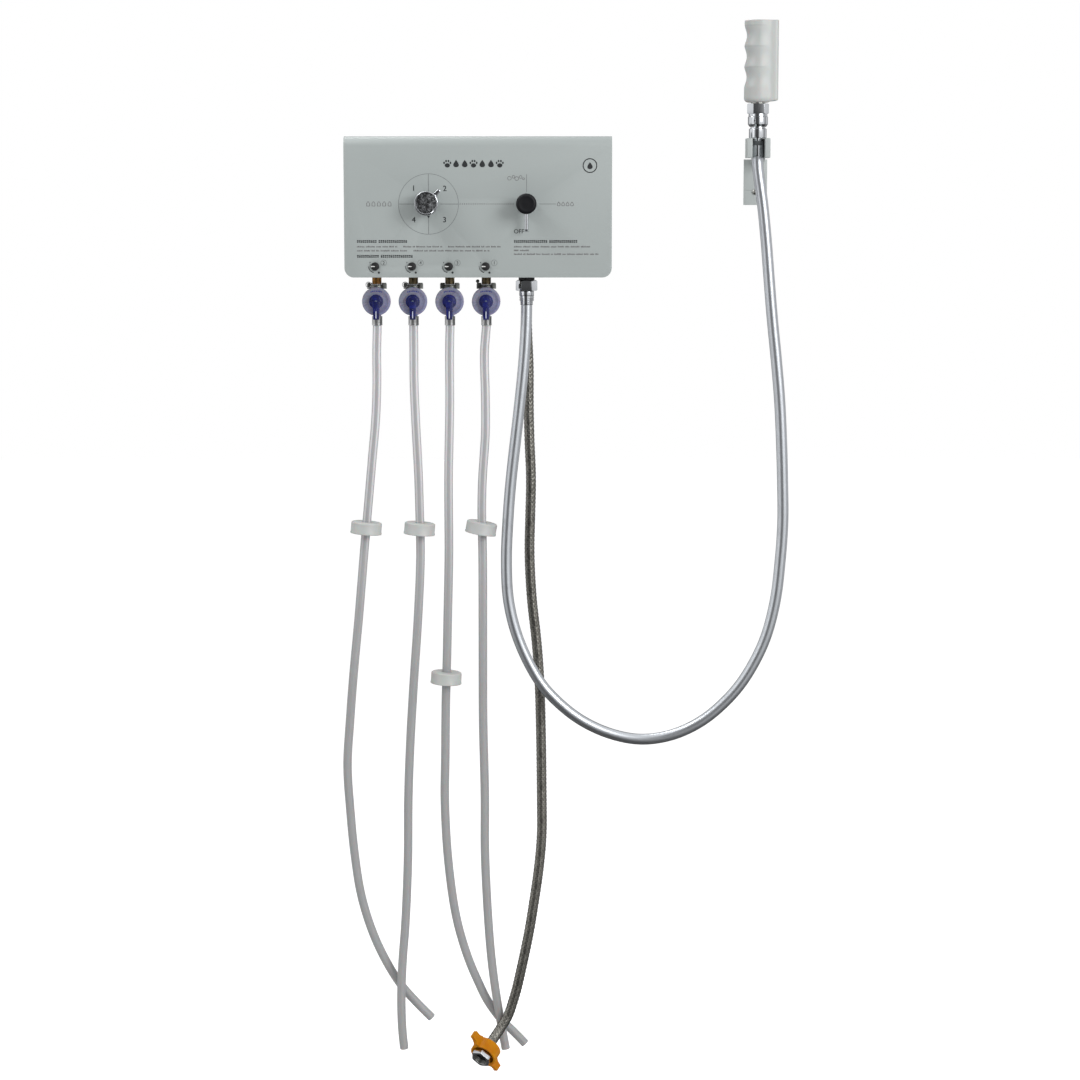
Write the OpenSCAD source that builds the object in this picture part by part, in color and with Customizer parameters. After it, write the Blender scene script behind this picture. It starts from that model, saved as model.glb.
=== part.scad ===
// Wall-hung pet bath unit: control panel, four product lines, water supply hose,
// spray hose and handheld sprayer in its own wall holder.
// X runs along the wall, Y runs into the wall (the wall face is Y = 0) and Z is up.
// The origin is the centre of the four wall screws of the panel.

/* [Control panel] */
// Width of the front cover
panel_w = 340; // [330:1:360]
// Height of the front cover
panel_h = 178; // [170:1:190]
// Distance from the wall to the face of the cover
panel_depth = 75; // [73:0.5:84]
// Sheet thickness of the cover
sheet_t = 1.5; // [1:0.1:2]
// Outer radius of the rolled top edge
roll_r = 12.5; // [8:0.5:18]
// Radius of the lower corners of the cover
corner_r = 12; // [6:0.5:18]
// Sheet thickness of the wall chassis
chassis_t = 1.5; // [1:0.1:2]
// How far the chassis cheeks stand inside the ends of the cover
cheek_inset = 4; // [3:0.5:6]
// Width of the lips that the cheeks turn inwards
lip_w = 12; // [11:0.5:16]
// Distance between the wall screws along the wall
wall_hole_dx = 292; // [288:1:300]
// Distance between the upper and lower wall screws
wall_hole_dz = 120; // [100:1:130]
// Diameter of the wall screw holes
wall_hole_d = 5.5; // [4.5:0.1:6.5]

/* [Product selector] */
// Place of the selector along the wall
selector_x = -64.5; // [-72:0.5:-58]
// Height of the selector above the origin
selector_z = 4.5; // [0:0.5:10]
// Diameter of the selector knob
selector_knob_d = 30; // [26:0.5:34]
// Length of the selector knob
selector_knob_len = 23; // [18:0.5:28]
// Reach of the selector pointer from the knob axis
pointer_reach = 24; // [20:0.5:28]
// Width of the pointer at its tip
pointer_w = 5; // [4:0.5:6]
// Diameter of the selector valve body
selector_body_d = 40; // [38:0.5:42]

/* [Bathe and rinse tap] */
// Place of the tap along the wall
tap_x = 61.5; // [56:0.5:68]
// Height of the tap above the origin
tap_z = 4; // [0:0.5:10]
// Diameter of the black tap knob
tap_knob_d = 26; // [22:0.5:30]
// Length of the black tap knob
tap_knob_len = 15; // [12:0.5:20]
// Diameter of the tap rod
tap_rod_d = 5.5; // [4:0.5:7]
// Reach of the tap rod from the knob axis
tap_rod_reach = 34.5; // [28:0.5:40]
// Diameter of the tap body
tap_body_d = 38; // [34:0.5:40]
// Diameter of both valve spindles
spindle_d = 6; // [5:0.5:7]
// Diameter of the threaded necks that pass through the cover
neck_d = 14; // [12:0.5:16]

/* [Product lines] */
// Place of the first product line along the wall
first_line_x = -131; // [-133:0.5:-129]
// Distance between product lines
line_pitch = 46.9; // [44:0.1:48]
// Distance from the wall to the axes of the product lines
line_depth = 42; // [40:0.5:44]
// Height of the dilution screws above the lower edge of the cover
screw_rise = 14; // [12:0.5:18]
// Diameter of the dilution screw heads
screw_head_d = 10.5; // [9:0.5:12]
// Diameter of the brass stubs below the cover
stub_d = 11.7; // [10:0.1:13]
// Length of brass stub that shows below the cover
stub_drop = 9; // [7:0.5:12]
// Diameter of the barbs inside the hoses
barb_d = 8.4; // [7:0.1:9]
// Outer diameter of the link tubes over the upper barbs
link_d = 14.4; // [13:0.1:15]
// Length of the link tubes
link_len = 10.5; // [10:0.5:12]
// Width across the ears of a clamp
clamp_span = 25; // [22:0.5:26]
// Length of a clamp along its tube
clamp_w = 7.5; // [6:0.5:8.5]

/* [Shut-off valves] */
// Distance from the lower edge of the cover to the valve centres
valve_drop = 31; // [30.5:0.5:34]
// Diameter of the valve face discs
disc_d = 36.6; // [34:0.1:38]
// Thickness of the valve face discs
disc_t = 5; // [4:0.5:6]
// Diameter of the lever hubs
hub_d = 18; // [14:0.5:20]
// Reach of the levers from the hub axis
lever_reach = 23; // [20:0.5:25]
// Width of the levers
lever_w = 8; // [6:0.5:9]
// Diameter of the lever stems
lever_stem_d = 7; // [6:0.5:8]
// Length of the ribbed collar below a valve
collar_len = 11.5; // [10:0.5:14]
// Diameter of the ribbed collar below a valve
collar_d = 13.4; // [12.4:0.1:15]

/* [Product tubes and bottle caps] */
// Outer diameter of the product tubes
tube_d = 11.4; // [10:0.1:12]
// Outer diameter of a bottle cap
cap_d = 41; // [39:0.5:43]
// Height of a bottle cap
cap_h = 15.5; // [13:0.5:18]
// Wall thickness of a bottle cap
cap_wall = 1.6; // [1.2:0.1:2]
// Diameter of the hole in a bottle cap that the tube slides in
cap_hole_d = 13.4; // [13:0.1:14]

/* [Hoses] */
// Outer diameter of the spray hose
spray_hose_d = 14.4; // [13:0.1:15]
// Outer diameter of the braided supply hose
supply_hose_d = 13.6; // [12.5:0.1:14]
// Distance from the wall to the axis of the spray hose
outlet_depth = 50; // [48:0.5:52]
// Distance from the wall to the feed pipe
feed_depth = 24; // [22:0.5:25]
// Distance from the lower edge of the cover to the top of the hose nut
nut_drop = 4.5; // [4:0.5:6]
// Width across flats of the hose nuts
nut_af = 24; // [23:0.5:26]
// Height of the hose nut below the panel
hose_nut_h = 13; // [11:0.5:15]
// Diameter of the black outlet collar
outlet_collar_d = 20.5; // [19:0.5:22]
// Bore of the winged supply nut
supply_bore_d = 18.7; // [18.2:0.1:19.2]
// Length of the winged supply nut
supply_nut_len = 18; // [17:0.5:20]
// Outer diameter of the wing collar
wing_ring_d = 35.6; // [34:0.1:38]
// Length of the wing collar along the nut
wing_ring_len = 16; // [14:0.5:18]
// Reach of each wing from the nut axis
wing_reach = 32; // [28:0.5:34]
// Length of each wing along the nut at its tip
wing_w = 10; // [8:0.5:12]
// Thickness of each wing
wing_t = 5.5; // [4:0.5:7]

/* [Sprayer] */
// Radius of the round part of the grip
grip_r = 18; // [17:0.5:20]
// Height of the grip
grip_h = 102.5; // [96:0.5:110]
// Depth of each finger scallop
scallop_depth = 3; // [1.5:0.1:3.5]
// Height of each finger scallop
scallop_h = 26; // [24:0.5:28]
// Distance from the grip axis to the flat back of the grip
fin_reach = 24.5; // [24:0.5:30]
// Thickness of the flat part of the grip
fin_t = 28; // [24:0.5:30]
// Height of the sprayer nut
sprayer_nut_h = 12.9; // [11:0.1:14]
// Diameter of the swivel ring
swivel_d = 25.4; // [24:0.1:27]
// Height of the swivel ring
swivel_h = 16.2; // [14:0.1:18]
// Diameter of the coupling barrel
barrel_d = 22.5; // [20:0.1:24]
// Height of the coupling barrel
barrel_h = 12.7; // [11:0.1:15]
// Diameter of the spray plate
plate_d = 27; // [24:0.5:28]
// Thickness of the spray plate
spray_plate_t = 2.7; // [2:0.1:3.5]
// Diameter of the spray holes
jet_d = 1.4; // [1:0.1:1.8]

/* [Sprayer holder] */
// Place of the holder along the wall
holder_x = 356; // [356:0.5:356.5]
// Height of the fork's upper face above the origin
fork_top_z = 86.5; // [86:0.5:87]
// Width of the fork
fork_w = 29; // [28:0.5:32]
// Height of the fork
fork_h = 24.5; // [20:0.5:25]
// Distance from the wall to the tips of the fork
fork_reach = 72; // [70:0.5:76]
// Width of the slot between the fork's cheeks
slot_w = 16.4; // [16:0.1:17]
// Width of the holder's wall plate
holder_plate_w = 30.2; // [29:0.1:33]
// Height of the holder's wall plate
holder_plate_h = 58.5; // [56:0.5:60]
// Thickness of the holder's wall plate
holder_plate_t = 3; // [2:0.1:4]
// Sideways shift of the wall plate under the fork
holder_plate_shift = 1.5; // [0:0.5:3]
// Distance between the two holder screws
holder_hole_dz = 32; // [30:0.5:36]
// Diameter of the holder screw holes
holder_hole_d = 4.5; // [3.5:0.1:5.5]

/* [Hidden] */
$fn = 48;
cut = 1;                    // overrun of a cut past the face it opens
seat_gap = 0.3;             // gap between pieces that seat on each other
run_gap = 0.05;             // radial gap of a shaft in its bore

// Control panel
panel_top = panel_h / 2;
panel_bottom = -panel_h / 2;
cover_inner_y = -panel_depth + sheet_t;
cheek_x = panel_w / 2 - cheek_inset;
chassis_front_y = cover_inner_y + seat_gap;
chassis_top = panel_top - sheet_t - seat_gap;
chassis_bottom = panel_bottom + 5;
chassis_bend_r = 3;
tab_x = 110;
tab_w = 24;
tab_depth = 22;
top_screw_y = -13;
top_screw_d = 3.9;
top_screw_len = 7;
top_screw_head_d = 8;
top_screw_head_h = 1.2;
stud_d = 4;
stud_len = 7.5;
stud_rows = [-60, 50];
stud_x = cheek_x - lip_w / 2;
stud_nut_af = 7;
stud_nut_h = 3.2;

// Valves behind the cover
body_front_y = -60;
body_back_y = -34;
shoulder_d = 22;
neck_out = 5;
panel_nut_af = 19;
panel_nut_h = 4;
knob_gap = 1.5;
spindle_root_y = -50;
spindle_end_y = spindle_root_y - 0.5;
knob_back_y = -panel_depth - neck_out - knob_gap;
spindle_seat = 13;
port_d = 6;
port_step = 9;
port_len = 8;
pipe_d = 12;
elbow_extra = 2;
feed_top_z = 42;
feed_left_x = -28;
injector_y = -43;
injector_root = 8;
throat_back = 30.5;
rail_nut_af = 14;
suction_z = 38;

// Product lines, left to right, by the number on the selector
line_numbers = [2, 4, 3, 1];
lines = [0 : len(line_numbers) - 1];
line_y = -line_depth;
screw_z = panel_bottom + screw_rise;
rail_z = -50;
rail_t = 1.5;
rail_margin = 10;
rail_leg = 22;
rail_front_y = line_y - 11;
valve_neck_d = 10;
needle_body_d = 15;
needle_flange_af = 16;
needle_flange_h = 4.5;
needle_shoulder_z = panel_bottom + 3;
needle_top_z = rail_z + 4;
nipple_len = 6;
boss_d = 9;
boss_front_y = -62;
screw_stem_d = 4.2;
screw_root_y = line_y - 4;
screw_gap = 0.3;
screw_head_t = 3;
stub_end_z = panel_bottom - stub_drop;
barb_half = (link_len - 0.4) / 2;
link_end_z = stub_end_z - link_len;

// Shut-off valves
valve_z = panel_bottom - valve_drop;
disc_back_y = -53;
disc_front_y = disc_back_y - disc_t;
barrel_od = 13;
valve_neck_r = 11;
spout_d = 10.4;
spout_z = valve_z - 14;
collar_top_z = valve_z - 19.5;
tube_top_z = collar_top_z - collar_len;
tail_d = 6.9;
lever_root_y = -47;
hub_t = 4.2;
lever_t = 6;

// Hoses
nut_top_z = panel_bottom - nut_drop;
nut_bottom_z = nut_top_z - hose_nut_h;
outlet_y = -outlet_depth;
feed_y = -feed_depth;
spigot_d = 17.6;
ferrule_step_d = 19;
ferrule_step_h = 6.2;
ferrule_d = 16.3;
ferrule_len = 11.8;
spray_top_z = nut_bottom_z - 0.2 - ferrule_step_h - ferrule_len;
supply_nut_af = 22;
supply_nut_h = 13;
supply_ferrule_d = 18;
supply_ferrule_len = 18;
supply_top_z = nut_top_z - supply_nut_h - supply_ferrule_len;

// The winged nut at the free end of the supply hose: its centre and how its axis leans
wing_centre = [7, -84, -1105];
wing_lean = [-47, 41, 0];
wing_turn = 25;
wing_recess_d = 30.6;
wing_recess = 4.5;
supply_tail_len = 13;
supply_thread_len = 7;
supply_neck_d = 13;
supply_flange_d = 18.4;
mouth_z = -wing_ring_len / 2 - 7.3;
web_z = mouth_z + 11;

// Sprayer and holder, from the fork upwards
holder_y = -outlet_depth;
fork_bottom_z = fork_top_z - fork_h;
barrel_bottom_z = fork_top_z + seat_gap;
barrel_top_z = barrel_bottom_z + barrel_h;
swivel_bottom_z = barrel_top_z + 1.8;
swivel_top_z = swivel_bottom_z + swivel_h;
sprayer_nut_top_z = swivel_top_z + sprayer_nut_h;
grip_bottom_z = sprayer_nut_top_z + 1.4;
grip_top_z = grip_bottom_z + grip_h;
swivel_pin_d = 14;
swivel_pin_len = 11;
hose_neck_d = 12.8;
neck_ring_d = 15.8;
neck_ring_h = 5.5;
neck_ring_drop = 3.3;
hose_end_d = 15.4;
hose_end_z = fork_bottom_z + 2;
thread_d = 18;
water_tube_d = 12;
chamber_d = 24;
chamber_h = 5.5;
jet_step = 4.4;
spray_plate_z = grip_top_z - spray_plate_t - seat_gap;
fin_lift = 2.4;
fin_edge_r = 4;
dome_r = 5;
holder_plate_top_z = fork_bottom_z - 1;
holder_plate_x = holder_x + holder_plate_shift;
holder_hole_top_z = fork_bottom_z - 10.5;
foot_h = 19;
foot_step = 0.6;
holder_arm_w = 15;
holder_arm_shift = 3.5;
holder_arm_drop = 5;

// Routes of the free hoses and tubes; the first point of each is its seat
cord_sides = 8;
line_routes = [
    [
        [-132, -42, -185], [-132, -42, -225], [-134, -42, -272], [-139, -42, -325],
        [-144, -42, -378], [-151, -42, -452], [-158, -42, -530], [-166, -42, -610],
        [-171, -42, -670], [-175, -41, -730], [-172, -39, -790], [-167, -37, -850],
        [-158, -35, -911], [-139, -32, -972], [-111, -30, -1026], [-89, -30, -1053],
        [-66, -30, -1077]
    ],
    [
        [-84, -42, -185], [-84, -42, -225], [-82, -42, -280], [-79, -42, -345],
        [-78, -42, -385], [-77, -42, -450], [-81, -42, -536], [-87, -42, -620],
        [-92, -42, -700], [-95, -43, -776], [-96, -44, -857], [-100, -45, -945],
        [-104, -46, -995], [-106, -46, -1045], [-105, -46, -1088], [-102.5, -46, -1114.5]
    ],
    [
        [-38, -42, -185], [-38, -42, -250], [-40, -42, -350], [-40, -42, -450],
        [-42, -42, -536], [-43, -42, -580], [-45, -42, -650], [-46, -41, -720],
        [-47, -39, -777], [-43, -36, -859], [-32, -33, -941], [-16, -30, -998],
        [-5, -29, -1025], [8, -29, -1053], [27, -29, -1080], [42, -29, -1095], [59, -29, -1113]
    ],
    [
        [7, -42, -185], [8, -42, -240], [8, -42, -290], [4, -42, -350], [3, -42, -390],
        [4, -42, -450], [4, -42, -560], [4, -42, -668], [6, -42, -770],
        [6, -42, -850], [10, -42, -938], [14, -42, -990], [19, -42, -1032],
        [26, -42, -1077], [33, -42, -1116]
    ]
];
supply_route = [
    [62, -24, -160], [64, -24, -205], [64, -24, -250], [65, -24, -300],
    [67, -24, -350], [66, -24, -400], [65, -24, -450], [68, -24, -510],
    [74, -24, -565], [78, -25, -620], [80, -27, -690], [81, -32, -770],
    [81, -37, -825], [77, -41, -870], [71, -44, -912], [64, -47, -955],
    [54, -50, -1003], [47, -51, -1034], [42, -52, -1050], [37, -54, -1066],
    [30, -57, -1077], [22, -62, -1088]
];
spray_route = [
    [61, -50, -150], [58, -50, -198], [53, -50, -248], [47, -50, -300],
    [41, -50, -353], [37, -50, -405], [35, -50, -458], [38, -50, -511],
    [52, -50, -564], [79, -50, -617], [103, -50, -644], [132, -50, -667],
    [170, -50, -685], [211, -50, -693], [252, -50, -687], [290, -50, -669],
    [321, -50, -643], [345, -50, -614], [371, -50, -564], [385, -50, -511],
    [391, -50, -458], [394, -50, -405], [393, -50, -353], [391, -50, -300],
    [388, -50, -248], [383, -50, -195], [377, -50, -140], [372, -50, -85],
    [368, -50, -40], [363, -50, 5], [358, -50, 38], [356, -50, 54]
];

// Where each bottle cap sits: place along the wall, height and turn about Y
cap_seats = [
    [-147.3, -414, 5],
    [-77.9, -415, 4.5],
    [-44.2, -612, 3.5],
    [2.3, -414, 10]
];

// ---- helpers ----

function unit(v) = v / norm(v);
function line_x(i) = first_line_x + i * line_pitch;
function place_of(number) = search(number, line_numbers)[0];

// A round bar along Y between two depths
module bar_y(d, y_front, y_back) {
    translate([0, y_front, 0])
        rotate([-90, 0, 0])
            cylinder(h = y_back - y_front, d = d);
}

// A round bar along X between two places
module bar_x(d, x_left, x_right) {
    translate([x_left, 0, 0])
        rotate([0, 90, 0])
            cylinder(h = x_right - x_left, d = d);
}

// A round bar along Z between two heights
module bar_z(d, z_low, z_high) {
    translate([0, 0, z_low])
        cylinder(h = z_high - z_low, d = d);
}

// A tube along Z between two heights
module ring_z(d_out, d_in, z_low, z_high) {
    difference() {
        bar_z(d_out, z_low, z_high);
        bar_z(d_in, z_low - cut, z_high + cut);
    }
}

// A hexagonal bar along Z with both ends chamfered
module hex_z(across_flats, z_low, z_high, chamfer = 1) {
    corner = across_flats / 2 / cos(30);
    translate([0, 0, z_low])
        intersection() {
            cylinder(h = z_high - z_low, r = corner, $fn = 6);
            rotate_extrude()
                polygon([
                    [0, 0], [corner - chamfer, 0], [corner, chamfer / 2],
                    [corner, z_high - z_low - chamfer / 2],
                    [corner - chamfer, z_high - z_low], [0, z_high - z_low]
                ]);
        }
}

// One straight leg of a rigid pipe
module pipe_leg(a, b, d) {
    v = b - a;
    translate(a)
        rotate([0, acos(v[2] / norm(v)), atan2(v[1], v[0])])
            cylinder(h = norm(v), d = d);
}

// A rigid pipe through points, with a ball elbow at each bend
module pipe_run(points, d, elbow) {
    for (i = [0 : len(points) - 2])
        pipe_leg(points[i], points[i + 1], d);
    for (i = [1 : len(points) - 2])
        translate(points[i])
            sphere(d = d + elbow);
}

// Direction of a route at one of its points: every route starts straight down from its seat
function heading(route, i, finish) =
    i == 0 ? [0, 0, -1] :
    i < len(route) - 1 ? unit(route[i + 1] - route[i - 1]) :
    finish ? finish : unit(route[i] - route[i - 1]);

// One ring of a swept tube; the side direction stays square to Y, so that it never twists
function ring_at(route, i, r, sides, finish) =
    let (t = heading(route, i, finish), side = unit(cross(t, [0, 1, 0])), rise = cross(side, t))
    [for (k = [0 : sides - 1]) route[i] + r * (cos(360 * k / sides) * side + sin(360 * k / sides) * rise)];

// A limp tube swept along a route; finish is its direction where it meets a fitting
module swept_tube(route, d, sides = cord_sides, finish = false) {
    rings = len(route);
    points = [for (i = [0 : rings - 1]) each ring_at(route, i, d / 2, sides, finish)];
    walls = [
        for (i = [0 : rings - 2], k = [0 : sides - 1])
            let (a = i * sides + k, b = i * sides + (k + 1) % sides)
            each [[a, b, b + sides], [a, b + sides, a + sides]]
    ];
    start_cap = [for (k = [1 : sides - 2]) [0, k + 1, k]];
    last = (rings - 1) * sides;
    end_cap = [for (k = [1 : sides - 2]) [last, last + k, last + k + 1]];
    polyhedron(points, concat(walls, start_cap, end_cap));
}

// ---- control panel ----

// A rectangle from the origin whose upper left corner is round
module rolled_square(w, h, r) {
    translate([r, 0])
        square([w - r, h]);
    square([w, h - r]);
    translate([r, h - r])
        circle(r);
}

// Outline of the cover from the front: square at the top, round at the lower corners
module panel_outline() {
    translate([-panel_w / 2, panel_bottom + corner_r])
        square([panel_w, panel_h - corner_r]);
    translate([-panel_w / 2 + corner_r, panel_bottom])
        square([panel_w - 2 * corner_r, 2 * corner_r]);
    for (side = [-1, 1])
        translate([side * (panel_w / 2 - corner_r), panel_bottom + corner_r])
            circle(corner_r);
}

// Side section of the cover: front sheet, rolled edge and top sheet
module cover_section() {
    difference() {
        translate([-panel_depth, panel_bottom])
            rolled_square(panel_depth, panel_h, roll_r);
        translate([cover_inner_y, panel_bottom - cut])
            rolled_square(panel_depth, panel_h - sheet_t + cut, roll_r - sheet_t);
    }
}

module front_cover() {
    color("#a9b2b1") {
        difference() {
            intersection() {
                translate([-panel_w / 2, 0, 0])
                    rotate([90, 0, 90])
                        linear_extrude(panel_w)
                            cover_section();
                rotate([90, 0, 0])
                    linear_extrude(panel_depth + cut)
                        panel_outline();
            }
            translate([selector_x, 0, selector_z])
                bar_y(neck_d + 2 * seat_gap, -panel_depth - cut, cover_inner_y + cut);
            translate([tap_x, 0, tap_z])
                bar_y(neck_d + 2 * seat_gap, -panel_depth - cut, cover_inner_y + cut);
            for (i = lines)
                translate([line_x(i), 0, screw_z])
                    bar_y(screw_stem_d + 2, -panel_depth - cut, cover_inner_y + cut);
            for (side = [-1, 1])
                translate([side * tab_x, top_screw_y, 0])
                    bar_z(top_screw_d + 0.6, panel_top - sheet_t - cut, panel_top + cut);
        }
        for (side = [-1, 1], z = stud_rows)
            translate([side * stud_x, 0, z])
                bar_y(stud_d, cover_inner_y - sheet_t / 2, cover_inner_y + stud_len);
    }
}

// Plan section of the chassis: back plate, two cheeks and their lips
module chassis_section() {
    depth = -chassis_front_y;
    difference() {
        round_plan(2 * cheek_x, depth, chassis_bend_r, 0);
        round_plan(2 * (cheek_x - chassis_t), depth - 2 * chassis_t, chassis_bend_r - chassis_t, chassis_t);
        translate([-cheek_x + lip_w, -depth - cut])
            square([2 * (cheek_x - lip_w), chassis_t + 2 * cut]);
    }
}

// A rectangle with round corners that lies between the wall and the front
module round_plan(w, depth, r, back) {
    translate([-w / 2 + r, -back - depth])
        square([w - 2 * r, depth]);
    translate([-w / 2, -back - depth + r])
        square([w, depth - 2 * r]);
    for (sx = [-1, 1], y = [-back - r, -back - depth + r])
        translate([sx * (w / 2 - r), y])
            circle(r);
}

module wall_chassis() {
    color("#b9bec0")
        difference() {
            union() {
                intersection() {
                    translate([0, 0, chassis_bottom])
                        linear_extrude(chassis_top - chassis_bottom)
                            chassis_section();
                    translate([-panel_w / 2, 0, 0])
                        rotate([90, 0, 90])
                            linear_extrude(panel_w)
                                translate([chassis_front_y, chassis_bottom])
                                    rolled_square(
                                        -chassis_front_y,
                                        chassis_top - chassis_bottom,
                                        roll_r - sheet_t - seat_gap
                                    );
                }
                for (side = [-1, 1])
                    translate([side * tab_x - tab_w / 2, -tab_depth, chassis_top - chassis_t])
                        cube([tab_w, tab_depth, chassis_t]);
            }
            for (sx = [-1, 1], sz = [-1, 1])
                translate([sx * wall_hole_dx / 2, 0, sz * wall_hole_dz / 2])
                    bar_y(wall_hole_d, -chassis_t - cut, cut);
            for (side = [-1, 1], z = stud_rows)
                translate([side * stud_x, 0, z])
                    bar_y(stud_d + 0.4, chassis_front_y - cut, chassis_front_y + chassis_t + cut);
            for (side = [-1, 1])
                translate([side * tab_x, top_screw_y, 0])
                    bar_z(top_screw_d + 2 * run_gap, chassis_top - chassis_t - cut, chassis_top + cut);
        }
}

// Two screws in the top sheet and the nuts on the four studs
module cover_fixings() {
    nut_y = chassis_front_y + chassis_t;
    color("silver") {
        for (side = [-1, 1])
            translate([side * tab_x, top_screw_y, panel_top]) {
                bar_z(top_screw_d, -top_screw_len, top_screw_head_h / 3);
                difference() {
                    cylinder(h = top_screw_head_h, d1 = top_screw_head_d, d2 = top_screw_head_d - 2);
                    translate([-top_screw_head_d, -0.5, top_screw_head_h / 2])
                        cube([2 * top_screw_head_d, 1, top_screw_head_h]);
                }
            }
        for (side = [-1, 1], z = stud_rows)
            translate([side * stud_x, nut_y, z])
                rotate([-90, 0, 0])
                    difference() {
                        hex_z(stud_nut_af, 0, stud_nut_h, 0.5);
                        bar_z(stud_d + 2 * run_gap, -cut, stud_nut_h + cut);
                    }
    }
}

// ---- valves behind the cover ----

// Neck of a valve that passes through the cover, with its shoulder behind the sheet
module valve_neck() {
    bar_y(shoulder_d, cover_inner_y, body_front_y + cut);
    bar_y(neck_d, -panel_depth - neck_out, body_front_y);
}

module panel_nut() {
    translate([0, -panel_depth, 0])
        rotate([90, 0, 0])
            difference() {
                hex_z(panel_nut_af, 0, panel_nut_h);
                bar_z(neck_d + 2 * run_gap, -cut, panel_nut_h + cut);
            }
}

module spindle(length_out) {
    bar_y(spindle_d, knob_back_y - length_out, spindle_end_y);
}

module selector_body() {
    color("#b08d4a")
        translate([selector_x, 0, selector_z])
            difference() {
                union() {
                    bar_y(selector_body_d, body_front_y, body_back_y);
                    valve_neck();
                    for (k = [-1.5 : 1 : 1.5])
                        translate([k * port_step, line_y, 0])
                            bar_z(port_d, -selector_body_d / 2 - port_len, 0);
                    translate([0, injector_y, 0])
                        bar_z(port_d, 0, selector_body_d / 2 + port_len);
                }
                bar_y(spindle_d + 2 * run_gap, -panel_depth - neck_out - cut, spindle_root_y);
            }
}

// The two nuts that hold the valve necks in the cover
module panel_nuts() {
    color("silver") {
        translate([selector_x, 0, selector_z])
            panel_nut();
        translate([tap_x, 0, tap_z])
            panel_nut();
    }
}

module selector_spindle() {
    color("silver")
        translate([selector_x, 0, selector_z])
            spindle(spindle_seat);
}

// Chrome knob: waisted body, bead round a dished face, and a pointer that grows from the waist
module selector_knob() {
    r = selector_knob_d / 2;
    depth = selector_knob_len;
    pointer_y = knob_back_y - 4;
    dish_r = 60;
    dish_depth = 1.2;
    color("#d8dadc")
        translate([selector_x, 0, selector_z])
            difference() {
                union() {
                    translate([0, knob_back_y, 0])
                        rotate([90, 0, 0])
                            rotate_extrude()
                                difference() {
                                    union() {
                                        square([r - 3.5, depth - 1.5]);
                                        translate([0, depth * 0.45])
                                            square([r, depth * 0.55 - 1.5]);
                                        square([r - 1.5, depth]);
                                        translate([r - 1.5, depth - 1.5])
                                            circle(1.5);
                                        square([r - 1, 4]);
                                    }
                                    translate([0, depth + dish_r - dish_depth])
                                        circle(dish_r);
                                    translate([r, depth * 0.3])
                                        circle(3.3);
                                }
                    translate([0, pointer_y, 0])
                        rotate([0, -45, 0])
                            rotate([90, 0, 0])
                                linear_extrude(6)
                                    union() {
                                        polygon([
                                            [0, -4.5], [pointer_reach - pointer_w / 2, -pointer_w / 2],
                                            [pointer_reach - pointer_w / 2, pointer_w / 2], [0, 4.5]
                                        ]);
                                        translate([pointer_reach - pointer_w / 2, 0])
                                            circle(d = pointer_w);
                                    }
                }
                bar_y(spindle_d + 2 * run_gap, knob_back_y - spindle_seat, knob_back_y + cut);
            }
}

module tap_body() {
    color("#b08d4a")
        translate([tap_x, 0, tap_z])
            difference() {
                union() {
                    bar_y(tap_body_d, body_front_y, body_back_y);
                    valve_neck();
                    translate([0, injector_y, 0])
                        bar_x(pipe_d + 6, -tap_body_d / 2 - 5, 0);
                    translate([0, outlet_y, 0])
                        bar_z(pipe_d + 6, -tap_body_d / 2 - 5, 0);
                }
                bar_y(spindle_d + 2 * run_gap, -panel_depth - neck_out - cut, spindle_root_y);
                translate([0, injector_y, 0])
                    bar_x(pipe_d + 2 * run_gap, -tap_body_d / 2 - 5 - cut, -tap_body_d / 2 - 5 + injector_root);
            }
}

module tap_spindle() {
    hub_len = 12;
    color("#d8dadc")
        translate([tap_x, 0, tap_z])
            difference() {
                union() {
                    spindle(hub_len);
                    bar_y(tap_knob_d * 0.7, knob_back_y - hub_len, knob_back_y);
                }
                translate([0, knob_back_y - hub_len / 2, 0])
                    bar_z(tap_rod_d + 2 * run_gap, -tap_knob_d, -spindle_d / 2);
            }
}

// Chrome rod with a ball end, set radially in the hub of the spindle
module tap_rod() {
    color("#d8dadc")
        translate([tap_x, knob_back_y - 6, tap_z]) {
            bar_z(tap_rod_d, -tap_rod_reach + tap_rod_d / 2, -spindle_d / 2 - run_gap);
            translate([0, 0, -tap_rod_reach + tap_rod_d / 2])
                sphere(d = tap_rod_d);
        }
}

// Black knob with a rounded rim in front of the hub
module tap_knob() {
    r = tap_knob_d / 2;
    color("#17181a")
        translate([tap_x, knob_back_y - 12, tap_z])
            rotate([90, 0, 0])
                rotate_extrude()
                    union() {
                        square([r, tap_knob_len - 4]);
                        square([r - 4, tap_knob_len]);
                        translate([r - 4, tap_knob_len - 4])
                            intersection() {
                                circle(4);
                                square(4);
                            }
                    }
}

// Injector between the feed and the tap, with its suction nipple at the throat
module injector() {
    right = tap_x - tap_body_d / 2 - 5;
    color("#b08d4a")
        translate([0, injector_y, tap_z]) {
            bar_x(pipe_d, right - 2, right + injector_root - 1);
            translate([right - 2, 0, 0])
                rotate([0, -90, 0])
                    hex_z(20, 0, 7);
            bar_x(16, right - 27, right - 8);
            bar_x(11, right - 35, right - 26);
            bar_x(16, feed_left_x + 10, right - 34);
            translate([right - throat_back, 0, 0])
                bar_z(port_d, 0, 14);
        }
}

module suction_line() {
    throat_x = tap_x - tap_body_d / 2 - 5 - throat_back;
    start_z = selector_z + selector_body_d / 2 + port_len;
    color("#c9ccd2")
        pipe_run(
            [
                [selector_x, injector_y, start_z], [selector_x, injector_y, suction_z],
                [throat_x, injector_y, suction_z], [throat_x, injector_y, tap_z + 14]
            ],
            port_d, 0.6
        );
}

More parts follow.
